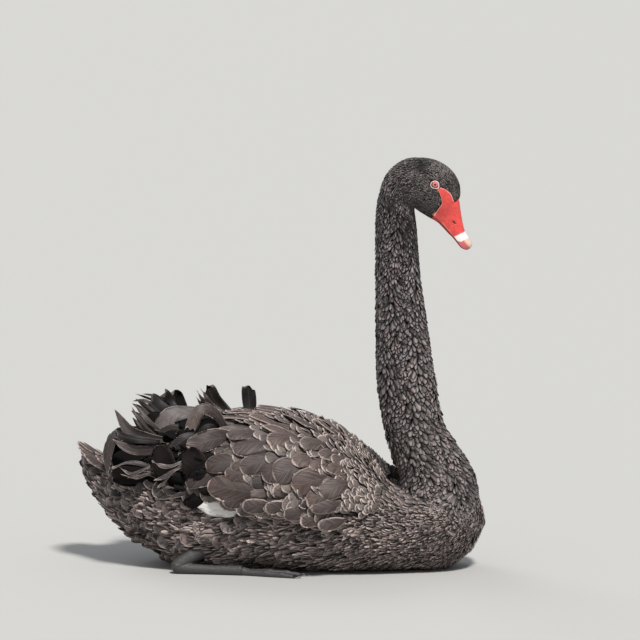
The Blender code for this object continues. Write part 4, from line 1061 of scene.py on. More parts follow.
LONG_RUFFLES = np.array([
    # the narrow curling ones between and in front of them, in the same columns
    (222, 412, .030, 210, 405, .030, 202, 399, .030, 197, 391, .030, .005, 10, 20, .2, .4),
    (222, 414, .030, 208, 408, .030, 201, 404, .030, 196, 397, .030, .005, 10, 20, .2, .3),
    (224, 412, .032, 212, 403, .032, 206, 396, .032, 201, 389, .032, .005, 10, 20, .2, .4),
    (170, 408, .015, 155, 401, .012, 145, 397, .010, 136, 394, .010, .005, 10, 0, .2, .2),
    (170, 412, .010, 153, 404, .008, 143, 400, .006, 133, 401, .004, .006, 10, 0, .2, .3),
    (170, 406, .015, 158, 398, .012, 150, 395, .010, 143, 394, .010, .005, 10, 0, .2, .15),
    (170, 424, .000, 154, 412, .000, 144, 405, .000, 136, 399, .000, .010, 10, 0, .3, .2),
    (166, 430, -.01, 150, 417, -.01, 141, 409, -.01, 133, 404, -.01, .011, 10, 0, .3, .2),
    (164, 434, -.02, 148, 424, -.02, 139, 416, -.02, 132, 411, -.02, .012, 10, 0, .3, .1),
    (170, 440, -.06, 148, 438, -.075, 130, 431, -.08, 115, 410, -.075, .021, 20, -10, -.2, .45),
    (182, 438, -.04, 162, 436, -.05, 145, 431, -.055, 133, 418, -.05, .017, 20, 0, -.2, .2),
    (166, 434, -.05, 152, 424, -.055, 143, 414, -.055, 135, 405, -.05, .009, 15, 0, .2, .8),
    (160, 438, -.055, 147, 428, -.06, 138, 418, -.06, 132, 407, -.055, .008, 20, 0, .3, .5),
    (176, 446, -.09, 152, 450, -.10, 131, 449, -.10, 113, 440, -.095, .019, -10, -15, -.2, .75),
    # The grey tones of the wavy ribbons from here down are partly a painted highlight.
    (160, 470, -.10, 142, 464, -.112, 126, 463, -.112, 112, 468, -.105, .009, 10, 50, .3, .9),
    (160, 474, -.10, 144, 470, -.113, 131, 474, -.113, 118, 466, -.107, .006, 30, 10, .3, .8),
    (160, 480, -.10, 148, 474, -.112, 135, 478, -.114, 121, 474, -.108, .007, 10, 50, .3, .7),
    (158, 462, -.10, 148, 467, -.112, 138, 472, -.114, 128, 478, -.108, .006, 10, 50, .3, .5),
    (186, 460, -.118, 172, 466, -.126, 161, 466, -.130, 152, 461, -.128, .007, 10, 50, .3, .8),
    (184, 466, -.118, 174, 470, -.128, 164, 477, -.130, 154, 480, -.128, .008, 40, 0, .3, .8),
    (184, 474, -.118, 172, 474, -.126, 164, 482, -.128, 158, 488, -.126, .006, 10, 40, .3, .5),
    (186, 484, -.116, 174, 489, -.122, 164, 488, -.124, 156, 495, -.120, .007, 10, 40, .3, .45),
    (200, 494, -.12, 188, 493, -.125, 178, 495, -.125, 168, 499, -.122, .008, 10, 0, .2, .4),
])
HOLLOW_RUFFLES = np.array([
    # near-black feathers, their near black a painted shade, that fill the deep hollows behind the
    # others, in the same columns
    (168, 494, -.110, 166, 478, -.116, 163, 462, -.118, 159, 445, -.114, .036, 5, 0, -.3, 1.0),
    (197, 489, -.118, 197, 478, -.126, 194, 464, -.128, 189, 448, -.124, .040, 5, 0, -.3, 1.0),
    (212, 492, -.122, 207, 486, -.130, 203, 479, -.132, 199, 470, -.130, .030, 5, 0, -.2, 1.0),
    (206, 500, -.120, 200, 496, -.126, 194, 492, -.128, 188, 487, -.126, .024, 5, 0, -.2, 1.0),
    (232, 470, -.110, 214, 474, -.120, 200, 478, -.122, 186, 480, -.12, .046, 5, 0, .2, .4),
    (212, 456, -.095, 200, 462, -.102, 190, 468, -.104, 182, 474, -.104, .040, 5, 0, .1, .2),
    (190, 458, -.085, 178, 464, -.092, 168, 470, -.094, 156, 477, -.094, .050, 5, 0, .1, .2),
    (188, 484, -.096, 178, 488, -.100, 168, 491, -.102, 154, 494, -.100, .030, 5, 0, .1, .2),
    (156, 454, -.065, 142, 458, -.075, 128, 461, -.079, 112, 461, -.077, .044, 5, 0, .1, .2),
    (150, 472, -.085, 138, 474, -.090, 126, 475, -.092, 112, 472, -.088, .030, 5, 0, .1, .2),
    (150, 438, -.03, 138, 437, -.035, 126, 438, -.04, 113, 440, -.04, .036, 5, 0, .1, .2),
    (130, 474, -.05, 121, 462, -.055, 115, 448, -.058, 112, 433, -.055, .028, 5, 0, .1, .3),
    (196, 438, -.045, 180, 440, -.05, 166, 441, -.055, 150, 443, -.055, .034, 5, 0, .1, .2),
    (178, 430, -.015, 166, 426, -.018, 156, 422, -.02, 146, 418, -.02, .036, 5, 0, .1, .2),
    (220, 436, -.035, 208, 430, -.04, 197, 426, -.045, 186, 424, -.045, .036, 5, 0, .1, .2),
])
FAR_SHOULDER = np.array([
    # dark feathers that fill the corner between the neck and the far wing, in the same columns
    (390, 494, .040, 387, 484, .046, 384, 473, .050, 380, 461, .050, .018, 10, 0, .2, .9),
    (394, 496, .038, 392, 486, .044, 389, 475, .048, 386, 463, .048, .017, 10, 0, .2, .7),
    (398, 497, .036, 396, 487, .042, 394, 477, .046, 391, 465, .046, .017, 10, 0, .2, .9),
    (402, 498, .034, 401, 488, .040, 399, 479, .044, 396, 467, .044, .016, 10, 0, .2, .6),
])
LOW_ON_WING = 450               # in the picture, pixels down: below it a ruffle lies on the wing's side


def ruffled_feathers(name, side, table, outline, seed, wave, fray, ragged):
    """Ribbons through the table's places: normal = facing * cos(lean) + heading x facing *
    sin(lean), where facing points at the viewer. The left wing has the ones that stand to the
    left of the bird's middle and, mirrored and shifted a little by chance, those low on the
    right wing."""
    rng = np.random.default_rng(seed)
    own = table[:, 5] > 0.001
    low = (table[:, 7] > LOW_ON_WING) & ~own
    mine = table[~own] if side == "right" else np.concatenate([table[own], table[low]])
    places = seen_at(*(mine[:, k:12:3] for k in range(3)))
    width, root_lean, tip_lean, cup, tone = mine[:, 12:].T
    v = outline[:, 0]
    spine = np.stack([through(np.column_stack([np.linspace(0, 1, 4), p]), v) for p in places])
    heading = unit(np.gradient(spine, axis=1))
    facing = unit(VIEW_BACK - heading * (heading @ VIEW_BACK)[..., None])
    lean = np.radians(root_lean[:, None] + (tip_lean - root_lean)[:, None] * v)[..., None]
    up = facing * np.cos(lean) + np.cross(heading, facing) * np.sin(lean)
    across = np.cross(heading, up)
    if side == "left":
        swap = np.arange(len(mine)) >= own.sum()
        spine[swap] = spine[swap] * (1, -1, 1) + rng.normal(0, 0.005, (swap.sum(), 1, 3))
        up[swap] *= (1, -1, 1)
        across[swap] *= (-1, 1, -1)
    return feathers(f"{name}_{side}", spine, across, up, width, spine[:, 0, [0, 2]],
                    rng.uniform(0, 1, len(mine)), tone, outline, across=7, thick=0.0006,
                    cup=cup[:, None, None], wave=wave, fray=fray, patch=0.05, ragged=ragged)


def ruffle_bed(side, seed):
    """Short dark feathers with raised tips, their darkness a painted shade, in rows over the rear of the
    wing and the back.
    """
    rng = np.random.default_rng(seed)
    sign = 1 if side == "left" else -1
    rows = rows_along(0.060, 0.190, lambda s: 0.010)
    s, a = roots_in_rows(wing_surface, rows, lambda s: 0.017, lambda s: 2.0 * sign,
                         lambda s: (wing_bottom(-s) - 4) * sign, rng, 0.4).T
    size = rng.uniform(0.026, 0.042, len(s))
    raised = size * rng.uniform(0.05, 0.40, len(s))
    spine, across, up = spines_on(wing_surface, s, a, size, TRUNK_STEP, size * 0.1, raised,
                                  SMALL_TIP[:, 0], drift=rng.normal(2 * sign, 5, len(s)), curve=2.0,
                                  roll=rng.normal(0, 30, len(s)))
    return feathers(f"ruffle_bed_{side}", spine, across, up, size * 0.55, np.stack([s, a], -1),
                    rng.uniform(0, 1, len(s)), rng.uniform(0.03, 0.22, len(s)), SMALL_TIP,
                    across=5, thick=0.0005, cup=0.25, wave=0.0016, fray=0.1, patch=0.012)


ruffle_paint = plumage_paint(
    "ruffled_plumage", dark=(0.004, 0.003, 0.003), middle=(0.150, 0.115, 0.106),
    cool=(0.130, 0.112, 0.112), edge=(0.46, 0.38, 0.35),
    edge_width=1.0, roughness=0.45, barb_step=2.4, barb_depth=0.4,
    sheen=0.02, gloss=0.28, streak=3.5,
)
# Near black all over: painted shade in the hollows behind the ribbons and on the feathers they root in.
hollow_shade_paint = plumage_paint(
    "hollow_shade_plumage", dark=(0.003, 0.0025, 0.0025), middle=(0.020, 0.015, 0.014),
    cool=(0.016, 0.013, 0.013), edge=(0.075, 0.062, 0.057),
    edge_width=0.7, roughness=0.65, barb_step=2.4, barb_depth=0.3,
    sheen=0.0, gloss=0.08, shaft=0.0,
)
for side, seed in (("left", 41), ("right", 42)):
    for piece, paint in (
        (ruffled_feathers("broad_ruffles", side, BROAD_RUFFLES, BLUNT_TIP, seed,
                          wave=0.004, fray=0.22, ragged=0.006), ruffle_paint),
        (ruffled_feathers("long_ruffles", side, LONG_RUFFLES, LEAF_TIP, seed + 2,
                          wave=0.003, fray=0.3, ragged=0.002), ruffle_paint),
        (ruffled_feathers("hollow_ruffles", side, HOLLOW_RUFFLES, WIDE_TIP, seed + 4,
                          wave=0.003, fray=0.15, ragged=0.001), hollow_shade_paint),
        (ruffle_bed(side, seed + 6), hollow_shade_paint),
    ):
        piece.data.materials.append(paint)
far_shoulder = ruffled_feathers("far_shoulder", "left", FAR_SHOULDER, WIDE_TIP, 49,
                                wave=0.001, fray=0.1, ragged=0.0)
far_shoulder.data.materials.append(ruffle_paint)


# White flight feathers: the outer primaries, stacked under the wing's lower edge and bare for a
# short way on the flank, with brown feathers lapping over their roots.
QUILLS = 5
QUILL_ROOT = (237, 511)         # in the picture, pixels across and down
QUILL_TIP = (193, 505)


def white_quills(side, seed):
    """Slim blades below one another, each 1.1 degrees further round the wing, 4 mm shorter and
    0.8 mm lower than the one above."""
    rng = np.random.default_rng(seed)
    i = np.arange(QUILLS)[:, None]
    root, tip = on_right_wing([QUILL_ROOT, QUILL_TIP]) * (1, 1 if side == "right" else -1)
    v = WIDE_TIP[:, 0]
    s = root[0] + (tip[0] - 0.004 * i - root[0]) * v
    down = (1.1 * i - 1.5) * (-1 if side == "right" else 1)
    a = root[1] + down + (tip[1] - root[1]) * v + 0 * i
    height = 0.0035 - 0.0008 * i - 0.010 * (1 - v)
    spine, across, up = laid_on(wing_surface, s, a, TRUNK_STEP, height, 0 * s)
    return feathers(f"quills_{side}", spine, across, up, np.full(QUILLS, 0.015),
                    np.stack([s[:, 0], a[:, 0]], -1), rng.uniform(0, 1, QUILLS), np.ones(QUILLS),
                    WIDE_TIP, across=5, thick=0.0005, cup=0.10, fray=0.03, patch=0.08)


quill_paint = plumage_paint(
    "white_quill", dark=(0.62, 0.60, 0.58), middle=(0.82, 0.80, 0.78),
    cool=(0.80, 0.79, 0.79), edge=(0.88, 0.87, 0.86),
    edge_width=0.8, roughness=0.55, barb_step=1.5, barb_depth=0.15, sheen=0.0, bump=0.2,
)
for side, seed in (("left", 51), ("right", 52)):
    piece = white_quills(side, seed)
    piece.data.materials.append(quill_paint)
    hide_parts(f"primaries_{side}")


# Tail: a short fan of stiff brown feathers with worn pale rims, held up behind the stern, with
# coverts lapping over its root above and below.
def tail_feathers():
    """Fourteen blades and two layers of eleven coverts, above and below, spread up to 24 degrees
    to each side and shorter outwards. A blade curves up by 8 degrees from root to tip."""
    rng = np.random.default_rng(61)
    share = np.concatenate([np.linspace(-1, 1, 14), np.linspace(-0.85, 0.85, 11),
                            np.linspace(-0.9, 0.9, 11)])
    layer = np.repeat([0, 1, -1], [14, 11, 11])
    n = len(share)
    spread = np.radians(24 * share + rng.normal(0, 1.5, n))
    length = (0.086 - 0.022 * np.abs(share) ** 1.5) * np.where(layer == 0, 1, 0.60)
    v = WIDE_TIP[:, 0]
    pitch = np.radians(29 - 7 * np.abs(share) - 7 * (layer > 0) + 3 * (layer < 0))
    pitch = pitch[:, None] + np.radians(8) * v
    heading = np.stack([-np.cos(pitch) * np.cos(spread)[:, None],
                        np.cos(pitch) * np.sin(spread)[:, None], np.sin(pitch)], -1)
    every_other = np.arange(n) % 2
    start = np.stack([-0.220 + 0 * share, 0.020 * share,
                      0.129 + 0.007 * layer + 0.0014 * every_other], -1)
    steps = heading[:, :-1] * (np.diff(v) * length[:, None])[..., None]
    spine = start[:, None] + np.concatenate([np.zeros((n, 1, 3)), np.cumsum(steps, axis=1)], axis=1)
    upright = np.array([0.35, 0, 1.0]) + np.stack([0 * share, 0.3 * share, 0 * share], -1)
    across = unit(np.cross(heading, upright[:, None]))
    return feathers("tail_fan", spine, across, np.cross(across, heading),
                    np.where(layer == 0, 0.026, 0.021), np.stack([share, layer + 0.1 * every_other], -1),
                    rng.uniform(0, 1, n), np.clip(rng.normal(0.8, 0.2, n), 0.4, 1.2), WIDE_TIP,
                    across=5, thick=0.0006, cup=0.12, fray=0.05, patch=0.05)


tail_fan = tail_feathers()
tail_fan.data.materials.append(covert_paint)
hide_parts("tail")


# Upper bill: red horn with a white band and a pale nail, grown into the bare red skin that runs up
# each side to the eye. One surface, with a slit of a nostril in each side.
UPPER_BILL = np.array([
    # ridge x and z, cutting edge x and z, half width, from the face to the tip
    (0.2580, 0.5490, 0.2290, 0.5190, 0.0168), (0.2676, 0.5394, 0.2347, 0.5137, 0.0158),
    (0.2697, 0.5270, 0.2420, 0.5085, 0.0138), (0.2714, 0.5150, 0.2486, 0.5015, 0.0125),
    (0.2738, 0.5025, 0.2560, 0.4930, 0.0120), (0.2768, 0.4925, 0.2632, 0.4855, 0.0118),
    (0.2812, 0.4855, 0.2688, 0.4780, 0.0113), (0.2850, 0.4803, 0.2738, 0.4715, 0.0100),
    (0.2872, 0.4755, 0.2790, 0.4682, 0.0075), (0.2866, 0.4712, 0.2828, 0.4672, 0.0040),
])
BILL_STEPS = np.column_stack([np.arange(len(UPPER_BILL), dtype=float), UPPER_BILL])
LORE_MIDDLE = np.array([0.2520, 0.5370])
NOSTRIL = (0.2630, 0.5066)      # x and z of the middle of the slit
NOSTRIL_LEAN = math.radians(-46)
NOSTRIL_LONG = 0.0034           # half length, half width and depth
NOSTRIL_WIDE = 0.0010
NOSTRIL_DEPTH = 0.0013
BILL_VOXEL = 0.00042


def head_half_width(x, z):
    """Half width of the head at points seen from its side: that of the nearest section line,
    times the root of 1 - share * share, where share runs from -1 to 1 along the line."""
    steps = np.column_stack([np.arange(12.0), NECK[:12]])
    rear_x, rear_z, front_x, front_z, half = through(steps, np.linspace(0, 11, 221)).T
    reach_x, reach_z = (front_x - rear_x) / 2, (front_z - rear_z) / 2
    dx = np.asarray(x)[..., None] - (rear_x + front_x) / 2
    dz = np.asarray(z)[..., None] - (rear_z + front_z) / 2
    share = (dx * reach_x + dz * reach_z) / (reach_x**2 + reach_z**2)
    miss = np.abs(dx * reach_z - dz * reach_x) / np.hypot(reach_x, reach_z) + (np.abs(share) > 1)
    wide = half * np.sqrt(np.clip(1 - share**2, 0, 1))
    return np.take_along_axis(wide, np.argmin(miss, axis=-1)[..., None], -1)[..., 0]


def closed_outline(points, count):
    """A closed curve through points, at evenly spread places."""
    n = len(points)
    looped = np.column_stack([np.arange(-2.0, n + 3), np.concatenate([points[-2:], points, points[:3]])])
    return through(looped, np.linspace(0, n, count, endpoint=False))


def lore_slab(sign):
    """Rings from the middle of the lore out to its outline and back underneath, 5 mm deeper. The
    upper face follows the head and bulges by under a millimetre."""
    r = np.concatenate([np.linspace(0.03, 1, 16), np.linspace(1, 0.03, 16)])[:, None]
    deep = np.repeat([0.0, 1.0], 16)[:, None]
    flat = LORE_MIDDLE + (closed_outline(LORE, 96) - LORE_MIDDLE) * r[..., None]
    y = head_half_width(flat[..., 0], flat[..., 1]) + 0.0012 - 0.0010 * r**6 - 0.0050 * deep
    return np.stack([flat[..., 0], sign * y, flat[..., 1]], -1)


def bill_sections(t, count):
    """Sections of the upper bill: edge + (ridge - edge) * sin(a) ** 0.62, y = half width * cos(a)."""
    a = np.linspace(0, math.pi, count)
    ridge_x, ridge_z, edge_x, edge_z, half = (k[:, None] for k in through(BILL_STEPS, t).T)
    rise = np.sin(a) ** 0.62
    return np.stack([edge_x + (ridge_x - edge_x) * rise, half * np.cos(a),
                     edge_z + (ridge_z - edge_z) * rise], -1)


def along_bill(x, z):
    """Section number and share from cutting edge to ridge at points seen from the side, from the
    nearest of the lines across the bill; the number is -1 for points beyond its ends."""
    t = np.linspace(0, 9, 181)
    ridge_x, ridge_z, edge_x, edge_z, _ = through(BILL_STEPS, t).T
    reach_x, reach_z = ridge_x - edge_x, ridge_z - edge_z
    dx, dz = x[:, None] - edge_x, z[:, None] - edge_z
    share = (dx * reach_x + dz * reach_z) / (reach_x**2 + reach_z**2)
    miss = np.abs(dx * reach_z - dz * reach_x) / np.hypot(reach_x, reach_z)
    best = np.argmin(miss, axis=1)
    beyond = miss[np.arange(len(x)), best] > 0.001
    return np.where(beyond, -1.0, t[best]), share[np.arange(len(x)), best]


def store(mesh, label, values):
    """Three values kept on each point of a mesh, which its material reads by their label."""
    layer = mesh.attributes.new(label, "FLOAT_VECTOR", "POINT")
    layer.data.foreach_set("vector", np.ascontiguousarray(values, float).ravel())


def evened(p, edges, share, rounds):
    """Points moved, round by round, towards the mean of their neighbours by their share."""
    ends, others = edges.ravel(), edges[:, ::-1].ravel()
    count = np.maximum(np.bincount(ends, minlength=len(p)), 1)[:, None]
    for _ in range(rounds):
        total = np.stack([np.bincount(ends, p[others, k], len(p)) for k in range(3)], -1)
        p = p + (total / count - p) * share[:, None]
    return p


def upper_bill():
    """The bill and both lores in one surface, evened out where they meet, with the nostrils
    pressed in: a pit that falls off as exp(-(long ** 4 + wide ** 2)) from the middle of its
    slit."""
    rings = bill_sections(np.linspace(0, 9, 110), 48)
    points, faces = [rings.reshape(-1, 3)], tube_faces(*rings.shape[:2])
    for sign in (1, -1):
        slab = lore_slab(sign)
        shift = sum(len(p) for p in points)
        faces += [[i + shift for i in face] for face in tube_faces(*slab.shape[:2])]
        points.append(slab.reshape(-1, 3))
    made = one_surface(mesh_piece("upper_bill", np.concatenate(points), faces), BILL_VOXEL, 10)
    p = np.empty(len(made.data.vertices) * 3)
    made.data.vertices.foreach_get("co", p)
    p = p.reshape(-1, 3)
    edges = np.empty(len(made.data.edges) * 2, np.int32)
    made.data.edges.foreach_get("vertices", edges)
    t, share = along_bill(p[:, 0], p[:, 2])
    edge = closed_outline(LORE, 400)
    rim = np.array([np.hypot(*(edge - spot).T).min() for spot in p[:, [0, 2]]]) * 1000
    rim = np.where((t < 0.9) & (np.abs(p[:, 1]) > 0.005), rim, 9.0)
    meeting = np.clip((2.6 - t) / 0.8, 0, 1) * np.clip(rim / 1.2 - 0.3, 0, 1)
    p = evened(p, edges.reshape(-1, 2), meeting * 0.7, 160)
    dx, dz = p[:, 0] - NOSTRIL[0], p[:, 2] - NOSTRIL[1]
    long = (dx * math.cos(NOSTRIL_LEAN) + dz * math.sin(NOSTRIL_LEAN)) / NOSTRIL_LONG
    wide = (dz * math.cos(NOSTRIL_LEAN) - dx * math.sin(NOSTRIL_LEAN)) / NOSTRIL_WIDE
    pit = np.exp(-(long**4 + wide**2)) * (np.abs(p[:, 1]) > 0.004)
    store(made.data, "bill_place", np.stack([t, share, rim], -1))
    store(made.data, "bill_pit", np.stack([pit, 0 * pit, 0 * pit], -1))
    p[:, 1] -= np.sign(p[:, 1]) * NOSTRIL_DEPTH * pit
    made.data.vertices.foreach_set("co", head_turned(p).ravel())
    made.data.update()
    return made


def bill_paint(name, red, upper):
    """Red horn, mottled and finely streaked. On the upper bill a white band crosses it near the tip, the
    nail beyond is cream above and pinkish below, thin pale lines edge it, and the slit of each nostril
    is painted near black as painted shade."""
    paint, tree, shader = plain_paint(name, red, 0.36)
    attribute, maths, mixed, noise = node_tools(tree)
    place = tree.nodes.new("ShaderNodeTexCoord").outputs["Object"]
    mottle = noise(place, 260.0, 3.0)
    fine = noise(place, 1300.0, 2.0)
    deep = tuple(k * 0.62 for k in red)
    colour = mixed(maths("MULTIPLY_ADD", mottle, 1.6, -0.35, clamp=True), (*deep, 1), (*red, 1))
    if upper:
        t, share, rim = attribute("bill_place")
        pit = attribute("bill_pit")[0]
        start = maths("MULTIPLY_ADD", mottle, 0.25, 4.75)
        end = maths("ADD", maths("MINIMUM", maths("MULTIPLY_ADD", share, 2.2, 5.35), 6.0),
                    maths("MULTIPLY", mottle, 0.2))
        past = maths("MULTIPLY", maths("SUBTRACT", t, start), 7.0, clamp=True)
        nail = maths("MULTIPLY", maths("SUBTRACT", t, end), 5.0, clamp=True)
        horn = mixed(maths("MULTIPLY_ADD", share, 6.0, -3.0, clamp=True), (0.62, 0.14, 0.14, 1),
                     (0.66, 0.50, 0.40, 1))
        colour = mixed(past, colour, mixed(nail, (0.84, 0.80, 0.78, 1), horn))
        line = maths("MULTIPLY_ADD", share, -14.0, 1.25, clamp=True)
        line = maths("MULTIPLY", line, maths("MULTIPLY", maths("ADD", t, 0.2), 3.0, clamp=True))
        rim = maths("MULTIPLY_ADD", rim, -1.3, 1.35, clamp=True)
        line = maths("MAXIMUM", maths("MULTIPLY", line, 0.6), rim)
        colour = mixed(maths("MULTIPLY", line, 0.75), colour, (0.80, 0.50, 0.45, 1))
        # The nostril pit is painted near black: painted shade in the slit.
        colour = mixed(maths("MULTIPLY", pit, 1.6, clamp=True), colour, (0.05, 0.008, 0.008, 1))
    tree.links.new(colour, shader.inputs["Base Color"])
    tree.links.new(maths("MULTIPLY_ADD", mottle, 0.22, 0.26), shader.inputs["Roughness"])
    relief = tree.nodes.new("ShaderNodeBump")
    relief.inputs["Strength"].default_value = 0.35
    relief.inputs["Distance"].default_value = 0.0003
    tree.links.new(maths("ADD", fine, maths("MULTIPLY", mottle, 1.5)), relief.inputs["Height"])
    tree.links.new(relief.outputs["Normal"], shader.inputs["Normal"])
    shader.inputs["Subsurface Weight"].default_value = 0.12
    shader.inputs["Subsurface Radius"].default_value = (0.003, 0.001, 0.0008)
    return paint


RED_HORN = (0.86, 0.088, 0.075)
bill = upper_bill()
bill.data.materials.append(bill_paint("red_horn", RED_HORN, True))
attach(bill, "root")
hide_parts("bill_upper")


# Lower bill: a shallow trough of darker red horn, held shut just inside the cutting edge of the
# upper one, so that only its side shows.
LOWER_DEPTHS = (0.0064, 0.0060, 0.0053, 0.0045, 0.0038, 0.0030, 0.0020)


def lower_bill():
    """Sections under the cutting edge, 1 mm narrower: they hang by depth * sin(a) ** 0.7."""
    rows, points = 90, 32
    t = np.linspace(0.75, 8.6, rows)
    depth = np.interp(np.linspace(0, 1, rows), np.linspace(0, 1, len(LOWER_DEPTHS)), LOWER_DEPTHS)
    a = np.linspace(0, math.pi, points)
    ridge_x, ridge_z, edge_x, edge_z, half = (k[:, None] for k in through(BILL_STEPS, t).T)
    tall = np.hypot(ridge_x - edge_x, ridge_z - edge_z)
    up_x, up_z = (ridge_x - edge_x) / tall, (ridge_z - edge_z) / tall
    drop = 0.0003 - np.sin(a) ** 0.7 * depth[:, None]
    p = np.stack([edge_x + up_x * drop, (half - 0.0010) * np.cos(a), edge_z + up_z * drop], -1)
    return mesh_piece("lower_bill", head_turned(p), tube_faces(rows, points))


lower = lower_bill()
lower.data.materials.append(bill_paint("dark_red_horn", (0.50, 0.035, 0.028), False))
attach(lower, "root")
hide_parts("bill_lower")


# Eyes: wet red glassy balls 11.6 mm across, with a black pupil in a red iris. They are set deep in
# the head, and the lids close over their edge.
EYE_RADIUS = 0.0058
EYE_SUNK = 0.0032               # how far the middle of the ball lies under the side of the head
GAZE_AHEAD = math.radians(12)
GAZE_UP = math.radians(4)


def eye_ball(sign):
    """A ball with its pole at the pupil: point = middle + radius * (gaze * cos(t) + (level *
    cos(f) + upright * sin(f)) * sin(t)), its clear front swelling by up to 4 per cent."""
    gaze = np.array([math.sin(GAZE_AHEAD), sign * math.cos(GAZE_AHEAD), math.sin(GAZE_UP)])
    gaze = gaze / np.linalg.norm(gaze)
    level = unit(np.cross(gaze, (0, 0, 1.0)))
    upright = np.cross(level, gaze)
    t, f = np.meshgrid(np.linspace(0.02, math.pi - 0.02, 60),
                       np.linspace(0, 2 * math.pi, 72, endpoint=False), indexing="ij")
    outward = level * np.cos(f)[..., None] + upright * np.sin(f)[..., None]
    way = gaze * np.cos(t)[..., None] + outward * np.sin(t)[..., None]
    swell = 1 + 0.04 * np.exp(-(t / 0.75) ** 4)
    x, z = EYE_PLACE
    middle = np.array([x, sign * (head_half_width(x, z) - EYE_SUNK), z])
    p = head_turned(middle + EYE_RADIUS * way * swell[..., None])
    ball = mesh_piece("eye_ball", p, tube_faces(*t.shape))
    store(ball.data, "gaze_place", np.stack([np.degrees(t), np.cos(f), np.sin(f)], -1))
    return ball


def eye_paint():
    """Black pupil, red iris streaked outwards with pale pink that is partly a painted reflection, and
    darker at both its edges, dark beyond; wet.
    """
    paint, tree, shader = plain_paint("wet_eye", (0.45, 0.03, 0.025), 0.06)
    attribute, maths, mixed, noise = node_tools(tree)
    wide, level, upright = attribute("gaze_place")
    spot = tree.nodes.new("ShaderNodeCombineXYZ")
    tree.links.new(maths("MULTIPLY", level, 9.0), spot.inputs[0])
    tree.links.new(maths("MULTIPLY", upright, 9.0), spot.inputs[1])
    tree.links.new(maths("MULTIPLY", wide, 0.03), spot.inputs[2])
    streak = noise(spot.outputs[0], 1.0, 3.0)
    # The iris's pale pink streaks are partly a painted reflection.
    iris = mixed(maths("MULTIPLY_ADD", streak, 2.2, -0.6, clamp=True), (0.50, 0.060, 0.055, 1),
                 (0.86, 0.30, 0.27, 1))
    rim = maths("MULTIPLY_ADD", wide, 0.20, -8.0, clamp=True)
    colour = mixed(rim, iris, (0.05, 0.008, 0.008, 1))
    pupil = maths("MULTIPLY_ADD", wide, -0.8, 13.2, clamp=True)
    colour = mixed(pupil, colour, (0.002, 0.002, 0.002, 1))
    tree.links.new(colour, shader.inputs["Base Color"])
    shader.inputs["Coat Weight"].default_value = 1.0
    shader.inputs["Coat Roughness"].default_value = 0.03
    return paint


eye_look = eye_paint()
for side, sign in (("left", 1), ("right", -1)):
    eye = eye_ball(sign)
    eye.name = f"wet_eye_{side}"
    eye.data.materials.append(eye_look)
    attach(eye, "root")
    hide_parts(f"eye_{side}")


# Lids: a fleshy pink ring round each eye, finely wrinkled, with a thin dark inner edge. It grows
# out of the bare skin and covers the edge of the ball.
def lid_ring(sign):
    """Ring of sections: reach = 5.15 + 0.9 * cos(w) mm from the middle of the eye, a quarter more
    at the corner by the lore, and out from the side of the head by 1.7 * sin(w) mm, wrinkled along
    and across the ring."""
    n, m = 120, 26              # sections round the eye, and points round a section
    around, w = np.meshgrid(np.linspace(0, 2 * math.pi, n, endpoint=False),
                            np.linspace(0, 2 * math.pi, m, endpoint=False), indexing="ij")
    reach = 0.00515 + 0.00090 * np.cos(w)
    corner = np.exp(-(((around - math.radians(315)) / 0.50) ** 2))
    reach = reach * (1 + 0.04 * np.cos(2 * around) + 0.27 * corner)
    crease = 0.00009 * np.sin(23 * around + 3 * np.sin(3 * around))
    crease = crease + 0.00012 * np.sin(5 * w + 2 * np.sin(around))
    x, z = EYE_PLACE[0] + reach * np.cos(around), EYE_PLACE[1] + reach * np.sin(around)
    out = -0.0004 + 0.0017 * np.sin(w) + crease * np.maximum(np.sin(w), 0)
    p = np.stack([x, sign * (head_half_width(x, z) + out), z], -1)
    i, j = np.meshgrid(np.arange(n), np.arange(m), indexing="ij")
    k, q = (i + 1) % n, (j + 1) % m
    faces = np.stack([i * m + j, i * m + q, k * m + q, k * m + j], -1).reshape(-1, 4)
    ring = mesh_piece("lids", head_turned(p), faces.tolist())
    store(ring.data, "lid_place", np.stack([np.cos(w), 0 * w, 0 * w], -1))
    return ring


def lid_paint():
    """Pale pink skin mottled redder by noise, and dark at the inner edge."""
    paint, tree, shader = plain_paint("lid_skin", (0.62, 0.30, 0.28), 0.42)
    attribute, maths, mixed, noise = node_tools(tree)
    outward = attribute("lid_place")[0]
    place = tree.nodes.new("ShaderNodeTexCoord").outputs["Object"]
    colour = mixed(noise(place, 900.0, 3.0), (0.66, 0.38, 0.37, 1), (0.88, 0.74, 0.73, 1))
    inner = maths("MULTIPLY_ADD", outward, -5.0, -2.4, clamp=True)
    colour = mixed(inner, colour, (0.03, 0.010, 0.010, 1))
    tree.links.new(colour, shader.inputs["Base Color"])
    shader.inputs["Subsurface Weight"].default_value = 0.15
    shader.inputs["Subsurface Radius"].default_value = (0.002, 0.0008, 0.0006)
    return paint


lid_look = lid_paint()
for side, sign in (("left", 1), ("right", -1)):
    lids = lid_ring(sign)
    lids.name = f"lids_{side}"
    lids.data.materials.append(lid_look)
    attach(lids, "root")


